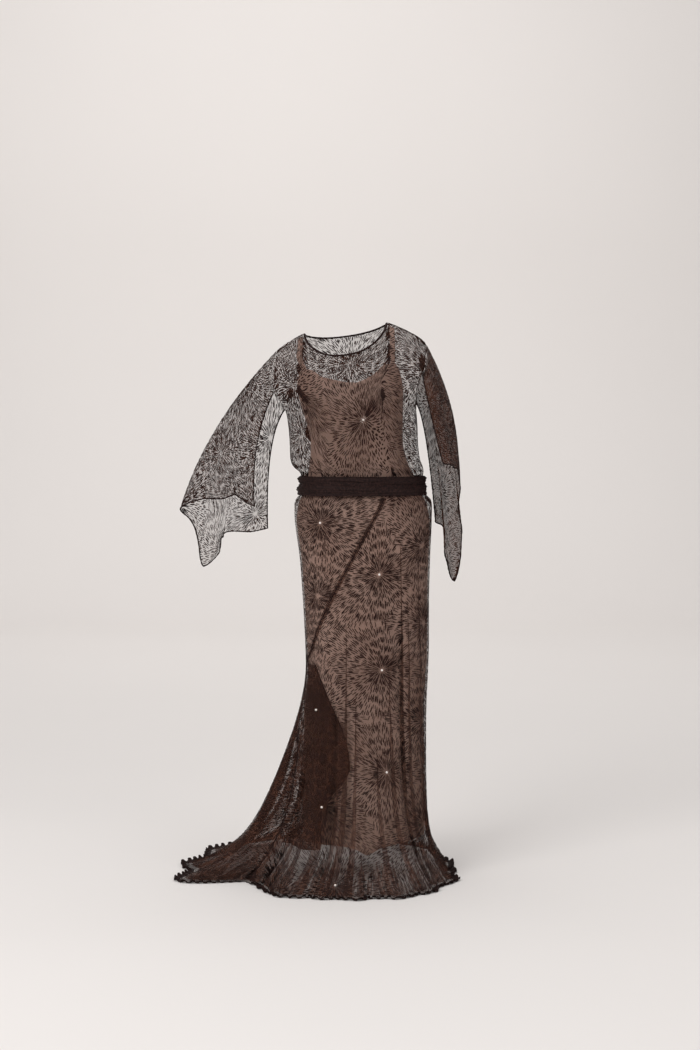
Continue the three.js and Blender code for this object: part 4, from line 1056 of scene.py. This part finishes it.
def sleeveSurface(lines, folds, share, creases):
    away = -1 if share == 0 else 1
    last = len(lines["z"]) - 1
    table = {"line": list(range(last + 1)), "z": lines["z"]}
    for axis in range(3):
        table[f"mid{axis}"] = [point[axis] for point in lines["mid"]]
        table[f"end{axis}"] = [point[axis] for point in lines["end"]]
    overTheArm = lines["side"].index(1)
    edges = {}
    for face in (-1, 1):
        edge = bodiceSurface(face, False)(np.full(400, float(share)), np.linspace(0, 1, 400))
        edges[face] = edge[::-1]

    def start(line):
        z = read(table, "line", "z", line)
        points = [np.stack([np.interp(z, edges[face][:, 2], edges[face][:, axis]) for axis in range(3)], -1)
                  for face in (-1, 1)]
        point = np.where((line < overTheArm)[..., None], points[0], points[1])
        return point + np.array([away * sleeve["clear"], 0, 0])

    def plain(u, v):
        line = u * last
        begin = start(line)
        out = []
        for axis in range(3):
            middle, end = read(table, "line", f"mid{axis}", line), read(table, "line", f"end{axis}", line)
            upper = begin[..., axis] * (1 - v) * (1 - 2 * v)
            out.append(upper + middle * 4 * v * (1 - v) + end * v * (2 * v - 1))
        return np.stack(out, axis=-1)

    def surface(u, v):
        u, v = np.broadcast_arrays(np.asarray(u, float), np.asarray(v, float))
        line = u * last
        raised = np.zeros(u.shape)
        for place, depth, width in zip(folds["line"], folds["depth"], folds["width"]):
            raised = raised + depth * smooth(v * sleeve["foldRise"]) * bump(line - place, width)
        for place, drift, depth, width in creases:
            raised = raised + depth * smooth((v - 0.25) * 1.6) * bump(line - place - drift * v, width)
        return plain(u, v) + facingOf(plain, u, v) * (raised * away)[..., None]
    return surface, last


sleeveCreases = {
    "right": [(0.8, 0.3, 2.2, 0.2), (2.7, -0.3, -2.4, 0.2), (4.3, 0.4, 2.4, 0.22), (6.2, 0.3, -2.4, 0.22),
              (8.6, -0.3, 2.6, 0.22), (10.4, 0.2, -2.4, 0.2), (12.0, -0.2, 2.2, 0.2), (13.4, 0.2, 2.0, 0.2)],
    "left": [(0.6, 0.2, 2.0, 0.18), (2.0, 0.1, -2.0, 0.18), (3.6, 0.3, 2.0, 0.2), (4.8, -0.2, -2.2, 0.2),
             (6.0, 0.2, 2.2, 0.2), (7.3, -0.2, -2.4, 0.2), (9.5, 0.1, 2.0, 0.18)]}
sleeveParts = {}
for name, node, lines, folds, share, side in (
        ("sleeveRight", "sleeve_right", rightSleeve, rightSleeveFolds, 0, "right"),
        ("sleeveLeft", "sleeve_left", leftSleeve, leftSleeveFolds, 1, "left")):
    surface, last = sleeveSurface(lines, folds, share, sleeveCreases[side])
    net = netCloth if share == 0 else foldedNet
    panel = clothSheet(name, node, net, surface, last * sleeve["columnsPerLine"] + 1,
                       sleeve["rows"], sleeve["thickness"])
    cloth = FlatCloth(surface, 300, 220)
    fixed = [cloth.flat(-235, -463)[:2]] if share == 0 else []
    stars = spreadStars(cloth, fixed, 215)
    dashes = starDashes(name + "Dashes", cloth, stars)
    down = np.linspace(0, 1, 160)
    around = np.linspace(0, 1, 260)
    line = np.concatenate([surface(np.zeros(160), down), surface(around, np.ones(260))[1:],
                           surface(np.ones(160), down[::-1])[1:]])
    hem = rolledEdge(name + "Hem", line, sleeve["roll"])
    sleeveParts[name] = (panel, dashes, hem, cloth)
print("sleeves made")


# The belt: a strip of the same net wound round the waist in crumpled folds

belt = {"topZ": -382, "bottomZ": -431, "thickness": 7, "clear": 0.9, "folds": 2, "foldDepth": 2.2,
        "foldDrift": 0.8, "sway": 3, "swayFrom": 0.6, "unevenness": 1.5, "standOff": 2.5, "crownPower": 4,
        "steps": 360, "facets": 40, "fineDepth": 1.0, "pinchDepth": 2.0}
pinches = [(random.uniform(0, 360), random.uniform(0.05, 0.95), random.uniform(-1, 1), random.uniform(2, 6),
            random.uniform(0.06, 0.2), random.uniform(-0.05, 0.05)) for _ in range(190)]


def woundBelt():
    angle = 360 * np.arange(belt["steps"]) / belt["steps"]
    turn = np.radians(angle)
    sway = belt["sway"] * np.sin(turn + belt["swayFrom"]) + belt["unevenness"] * np.sin(3 * turn)
    rows = []
    for k in range(belt["facets"]):
        t = 1 - k / (belt["facets"] - 1)
        crown = math.sqrt(max(0, 1 - (2 * t - 1) ** belt["crownPower"]))
        phase = 2 * math.pi * belt["folds"] * t + belt["foldDrift"] * np.sin(2 * turn)
        fine = 2 * math.pi * 6.5 * t + 1.9 * np.sin(2 * turn + 1) + 1.1 * np.sin(5 * turn)
        out = belt["standOff"] + (belt["thickness"] + belt["foldDepth"] * np.sin(phase)) * crown
        out = out + belt["fineDepth"] * crown * (1 - 2 * np.abs(np.sin(fine / 2)))
        for place, height, depth, width, spread, slant in pinches:
            offset = turnFrom(angle, place)
            out = out + crown * belt["pinchDepth"] * depth * bump(offset, width) * bump(
                t - height - slant * offset / width, spread)
        z = lerp(belt["topZ"], belt["bottomZ"], t) + sway * crown
        radius = sectionRadius(skirtSections, angle, z) + 0.65 + belt["clear"] + out
        rows.append(np.stack([axisX + radius * np.cos(turn), radius * np.sin(turn), z + 0 * turn], axis=-1))
    for t in (0.0, 0.5, 1.0):
        z = np.full(angle.shape, lerp(belt["topZ"], belt["bottomZ"], t))
        radius = sectionRadius(skirtSections, angle, z) + 0.65 + belt["clear"] + (3 if t < 0.5 else 0.5)
        rows.append(np.stack([axisX + radius * np.cos(turn), radius * np.sin(turn), z], axis=-1))
    rows.append(rows[0])
    points = np.concatenate(rows[:-1])
    count = belt["steps"]
    faces = gridFaces(len(rows) - 1, count, False, True)
    lastRow = (len(rows) - 2) * count
    for i in range(count):
        k = (i + 1) % count
        faces.append((lastRow + i, lastRow + k, k, i))
    piece = makeMesh("beltFolds", points, faces, beltCloth)
    deselectAll()
    bpy.context.view_layer.objects.active = piece
    piece.select_set(True)
    bpy.ops.object.mode_set(mode="EDIT")
    bpy.ops.mesh.select_all(action="SELECT")
    bpy.ops.mesh.normals_make_consistent(inside=False)
    bpy.ops.object.mode_set(mode="OBJECT")
    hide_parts("belt")
    return piece


beltPiece = woundBelt()
print("belt made")


# The slip and its straps

slipSections = {
    "z": [-60, -105, -150, -200, -290, -345, -403, -500, -595, -705, -884, -1000, -1360],
    "left": [-128, -130, -128, -114, -90, -92, -103, -119, -108, -101, -94, -104, -109],
    "right": [146, 151, 151, 149, 148, 160, 186, 211, 209, 207, 205, 201, 203],
    "front": [-84, -97, -112, -116, -99, -92, -86, -101, -105, -107, -109, -111, -118],
    "back": [66, 76, 84, 84, 72, 72, 76, 102, 116, 114, 110, 113, 126],
    "power": [2.4, 2.4, 2.3, 2.3, 2.2, 2.2, 2.2, 2.2, 2.2, 2.2, 2.2, 2.1, 2.1],
}
slipTopEdge = {
    "angle": [0, 12, 22, 30, 38, 48, 65, 90, 120, 145, 158, 165, 170, 175, 180, 190, 196, 203, 212,
        226, 245, 262, 285, 300, 312, 323, 332, 344, 360],
    "z": [-176, -160, -128, -108, -104, -114, -130, -138, -136, -124, -111, -108, -124, -156, -178,
        -152, -114, -107, -112, -137, -145, -142, -122, -99, -93, -94, -118, -156, -176],
}
slipHem = {
    "angle": [0, 60, 120, 180, 240, 262, 276, 292, 330, 360],
    "z": [-1306, -1322, -1326, -1324, -1320, -1328, -1342, -1326, -1312, -1306],
}
slip = {"columns": 90, "rows": 92, "thickness": 0.9, "clearOfSkirt": 4.2, "fuller": 8, "seam": 0.1,
        "looseAbove": waistZ + 20}
slipCreases = [(random.uniform(0, 360), random.uniform(-1.6, 1.6), random.uniform(4, 9),
                random.uniform(-1200, -500)) for _ in range(26)]
straps = [{"name": "slipStrapRight", "node": "slip_strap_right", "front": 201, "back": 163, "share": 0.15},
          {"name": "slipStrapLeft", "node": "slip_strap_left", "front": 317, "back": 35, "share": 0.778}]
strap = {"width": 12, "thickness": 0.9, "underBodice": 6, "drops": [3, 24, 52], "steps": 90, "span": 0.03}


def slipPoint(angle, z, creased=True):
    skirtSide = sectionRadius(skirtSections, angle, z) + np.minimum(0, foldReach(angle, z))
    most = np.where(z > slip["looseAbove"], 1e6, skirtSide - slip["clearOfSkirt"])
    fuller = slip["fuller"] * smooth((waistZ - 10 - z) / 40) * (1 - 0.7 * smooth((-760 - z) / 200))
    radius = np.minimum(sectionRadius(slipSections, angle, z) + fuller, most)
    if creased:
        for place, depth, width, startZ in slipCreases:
            down = smooth((startZ - z) / 260)
            radius = radius - np.abs(depth) * down * bump(turnFrom(angle, place), width)
    turn = np.radians(angle)
    return np.stack([axisX + radius * np.cos(turn), radius * np.sin(turn), z + 0 * radius], axis=-1)


def slipSurface(fromAngle, toAngle):
    def surface(u, v):
        u, v = np.broadcast_arrays(np.asarray(u, float), np.asarray(v, float))
        angle = lerp(fromAngle + slip["seam"], toAngle - slip["seam"], u)
        z = lerp(read(slipTopEdge, "angle", "z", angle), read(slipHem, "angle", "z", angle), v)
        return slipPoint(angle, z)
    return surface


slipParts = {}
for name, node, fromAngle, toAngle in (("slipFront", "slip_front", 180, 360),
                                       ("slipBack", "slip_back", 0, 180)):
    surface = slipSurface(fromAngle, toAngle)
    slipParts[name] = clothSheet(name, node, slipCloth, surface, slip["columns"], slip["rows"],
                                 slip["thickness"])


def bezierThrough(points, steps):   # a smooth line through points, as the straps lie
    points = np.array(points, float)
    padded = np.concatenate([2 * points[:1] - points[1:2], points, 2 * points[-1:] - points[-2:-1]])
    spans = np.sqrt(np.linalg.norm(np.diff(padded, axis=0), axis=1))
    knots = np.concatenate([[0], np.cumsum(spans)])
    out = []
    for value in np.linspace(knots[1], knots[-2], steps):
        i = int(np.clip(np.searchsorted(knots, value, side="right") - 1, 1, len(knots) - 3))
        t = knots[i - 1:i + 3]
        p = padded[i - 1:i + 3]
        a = [lerp(p[k], p[k + 1], (value - t[k]) / (t[k + 1] - t[k])) for k in range(3)]
        b = [lerp(a[k], a[k + 1], (value - t[k]) / (t[k + 2] - t[k])) for k in range(2)]
        out.append(lerp(b[0], b[1], (value - t[1]) / (t[2] - t[1])))
    return np.array(out)


def slipStrap(facts):
    def edgeAt(angle):
        z = float(read(slipTopEdge, "angle", "z", angle))
        return slipPoint(np.array(float(angle)), np.array(z), False) + np.array([0, 0, 0.3 + 0.6])

    def under(face, drop):
        share, top = np.array(facts["share"]), float(shoulderZ(np.array(facts["share"])))
        surface = bodiceSurface(face, False)
        v = np.array(drop / (top - waistZ))
        facing = facingOf(surface, share, v)
        outward = 1 if facing[2] + facing[1] * face > 0 else -1
        return surface(share, v) - facing * outward * strap["underBodice"]

    stops = [edgeAt(facts["front"])] + [under(-1, drop) for drop in strap["drops"][::-1]]
    stops += [under(1, drop) for drop in strap["drops"]] + [edgeAt(facts["back"])]
    route = bezierThrough(stops, strap["steps"])
    back = bodiceSurface(1, False)
    near = [facts["share"] - strap["span"], facts["share"] + strap["span"]]
    xs = [float(back(np.array(share), np.array(0.0))[0]) for share in near]
    zs = [float(shoulderZ(np.array(share))) for share in near]
    slope = (zs[1] - zs[0]) / (xs[1] - xs[0])
    v = np.linspace(0, 1, strap["steps"])
    across = unit(np.stack([np.ones(len(v)), 0 * v, slope * (1 - (2 * v - 1) ** 4)], axis=1))

    def surface(u, w):
        middle = np.stack([np.interp(w, v, route[:, axis]) for axis in range(3)], axis=-1)
        side = np.stack([np.interp(w, v, across[:, axis]) for axis in range(3)], axis=-1)
        return middle + side * ((u - 0.5) * strap["width"])[..., None]
    return clothSheet(facts["name"], facts["node"], slipCloth, surface, 5, strap["steps"],
                      strap["thickness"])


strapParts = [slipStrap(facts) for facts in straps]
print("slip made")


# Pearls at the middles of the stars, and a small cluster on the breast

def addPearls():
    centre = bodiceParts["bodiceFront"][2]
    s, t, _ = centre.flat(45.5, -236.6)
    cluster = [(s + 6 * math.cos(a), t + 6 * math.sin(a)) for a in np.radians(np.arange(0, 360, 60))]
    keepPearls(centre, cluster, pearlSize["small"])
    deselectAll()
    bpy.ops.mesh.primitive_uv_sphere_add(segments=16, ring_count=10, radius=1)
    model = bpy.context.object
    bpy.ops.object.mode_set(mode="EDIT")
    bpy.ops.mesh.select_all(action="DESELECT")
    bpy.ops.object.mode_set(mode="OBJECT")
    for vertex in model.data.vertices:   # a flattened dimple at each end of the drilled hole
        if abs(vertex.co.z) > 0.98:
            vertex.select = True
            vertex.co.z *= 0.9
    verts = np.array([vertex.co[:] for vertex in model.data.vertices])
    faces = [tuple(face.vertices) for face in model.data.polygons]
    bpy.data.objects.remove(model)
    points, allFaces = [], []
    for place, size in pearlPlaces:
        base = len(points) * len(verts)
        points.append(verts * size + place)
        allFaces += [tuple(base + i for i in face) for face in faces]
    return makeMesh("pearls", np.concatenate(points), allFaces, pearlFinish)


pearls = addPearls()
print(f"{len(pearlPlaces)} pearls made")



cuts = [   # piece, its cut's width, length and area, how it is held, what it hangs from and what is on it
    (hipYoke, (0.56, 0.52), 0.161, "hung", ["beltFolds"], [yokeDashes]),
    (skirtFront, (0.83, 1.08), 0.435, "hung", ["beltFolds"],
     [frontDashes, frontAllowance, backAllowance, frontLine, backLine, pleatAndHemShadePiece]),
    (skirtBack, (0.88, 1.13), 0.472, "hung", ["beltFolds"], [backDashes]),
    (trainPanel, (0.73, 0.66), 0.192, "gathered", ["skirtFront", "skirtBack"], [trainDashes]),
    (underlapPanel, (0.16, 0.49), 0.055, "hung", ["skirtFront"], [underlapDashes, underlapHem]),
    (frillPiece, (2.75, 0.018), None, "gathered", ["skirtFront", "skirtBack"], []),
    (beltPiece, (1.0, 0.05), None, "gathered", ["hipYoke"], []),
    (bodiceParts["bodiceFront"][0], (0.55, 0.41), 0.18, "draped", ["slipStrapRight", "slipStrapLeft"],
     [bodiceParts["bodiceFront"][1], bindingPiece]),
    (bodiceParts["bodiceBack"][0], (0.475, 0.43), 0.177, "draped", ["slipStrapRight", "slipStrapLeft"],
     [bodiceParts["bodiceBack"][1]]),
    (sleeveParts["sleeveRight"][0], (0.66, 0.41), 0.147, "hung", ["bodiceFront"],
     list(sleeveParts["sleeveRight"][1:3])),
    (sleeveParts["sleeveLeft"][0], (0.585, 0.385), 0.104, "hung", ["bodiceFront"],
     list(sleeveParts["sleeveLeft"][1:3])),
    (slipParts["slipFront"], (0.46, 1.24), 0.493, "hung", ["slipStrapRight", "slipStrapLeft"], []),
    (slipParts["slipBack"], (0.46, 1.22), 0.488, "hung", ["slipStrapRight", "slipStrapLeft"], []),
    (strapParts[0], (0.0125, 0.25), None, "draped", ["slipFront"], []),
    (strapParts[1], (0.0125, 0.265), None, "draped", ["slipFront"], [])]
for piece, flat, area, held, restsOn, onIt in cuts:
    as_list(restsOn)
    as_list(onIt)


# Room, light and camera

room = {"floor": (0.79, 0.755, 0.73), "width": 14.0, "front": -7.0, "back": 8.4, "curve": 2.4, "height": 7.0,
        "z": floorZ * metres - 0.0006}


def addRoom():
    material, tree, shader = newMaterial("studio paper", room["floor"], 0.9)
    place = addNode(tree, "ShaderNodeTexCoord").outputs["Object"]
    cloud = addNode(tree, "ShaderNodeTexNoise", {"Vector": place, "Scale": 0.7})
    pale = tuple(value * 1.015 for value in room["floor"])
    colour = addColours(tree, cloud.outputs["Fac"], [(0.3, room["floor"]), (0.7, pale)])
    tree.links.new(colour, shader.inputs["Base Color"])
    profile = [(room["front"], 0.0)]
    for step in range(17):
        turn = math.pi / 2 * step / 16
        profile.append((room["back"] - room["curve"] + room["curve"] * math.sin(turn),
                        room["curve"] * (1 - math.cos(turn))))
    profile.append((room["back"], room["height"]))
    points = [(side * room["width"] / 2, y, room["z"] + z) for y, z in profile for side in (-1, 1)]
    faces = [(2 * i, 2 * i + 1, 2 * i + 3, 2 * i + 2) for i in range(len(profile) - 1)]
    mesh = bpy.data.meshes.new("studioPaper")
    mesh.from_pydata(points, [], faces)
    paper = bpy.data.objects.new("studioPaper", mesh)
    bpy.context.collection.objects.link(paper)
    mesh.materials.append(material)
    mesh.polygons.foreach_set("use_smooth", [True] * len(faces))


def addLight(name, place, target, size, power, colour):
    light = bpy.data.lights.new(name, "AREA")
    light.shape = "RECTANGLE"
    light.size, light.size_y = size
    light.energy = power
    light.color = colour
    lamp = bpy.data.objects.new(name, light)
    bpy.context.collection.objects.link(lamp)
    lamp.location = place
    direction = np.array(target) - np.array(place)
    flat = math.hypot(direction[0], direction[1])
    lamp.rotation_euler = (math.atan2(flat, -direction[2]), 0, math.atan2(-direction[0], direction[1]))


addRoom()
addLight("keyLight", (-2.6, -3.6, 1.9), (0, 0.3, -0.6), (2.6, 2.6), 122, (0.97, 0.965, 0.965))
addLight("fillLight", (2.8, -3.4, 1.2), (0, 0.2, -0.8), (2.4, 2.4), 30, (0.96, 0.955, 0.955))
addLight("topLight", (0.0, 0.4, 3.2), (0, 0.6, -1.0), (4.0, 3.0), 58, (0.96, 0.96, 0.965))
addLight("backdropLight", (-0.6, 4.2, 3.6), (-0.2, 8.4, 0.4), (5.0, 2.0), 110, (0.97, 0.96, 0.955))
scene = bpy.context.scene
world = bpy.data.worlds.new("studioAir")
scene.world = world
world.use_nodes = True
air = world.node_tree.nodes["Background"]
air.inputs["Color"].default_value = (0.985, 0.975, 0.975, 1)
air.inputs["Strength"].default_value = 0.52
scene.view_settings.view_transform = "Standard"
scene.view_settings.look = "None"
scene.cycles.transparent_max_bounces = 48

view = {"place": (0.0117, -5.0, -0.246), "pixels": 1923, "height": 1050, "horizon": 423.5, "sensor": 36}
camera = bpy.data.cameras.new("camera")
camera.sensor_fit = "AUTO"
camera.sensor_width = view["sensor"]
camera.lens = view["pixels"] * view["sensor"] / view["height"]
camera.shift_y = (view["horizon"] - view["height"] / 2) / view["height"]
cameraObject = bpy.data.objects.new("camera", camera)
bpy.context.collection.objects.link(cameraObject)
cameraObject.location = view["place"]
cameraObject.rotation_euler = (math.pi / 2, 0, 0)
scene.camera = cameraObject
print("room and camera set")
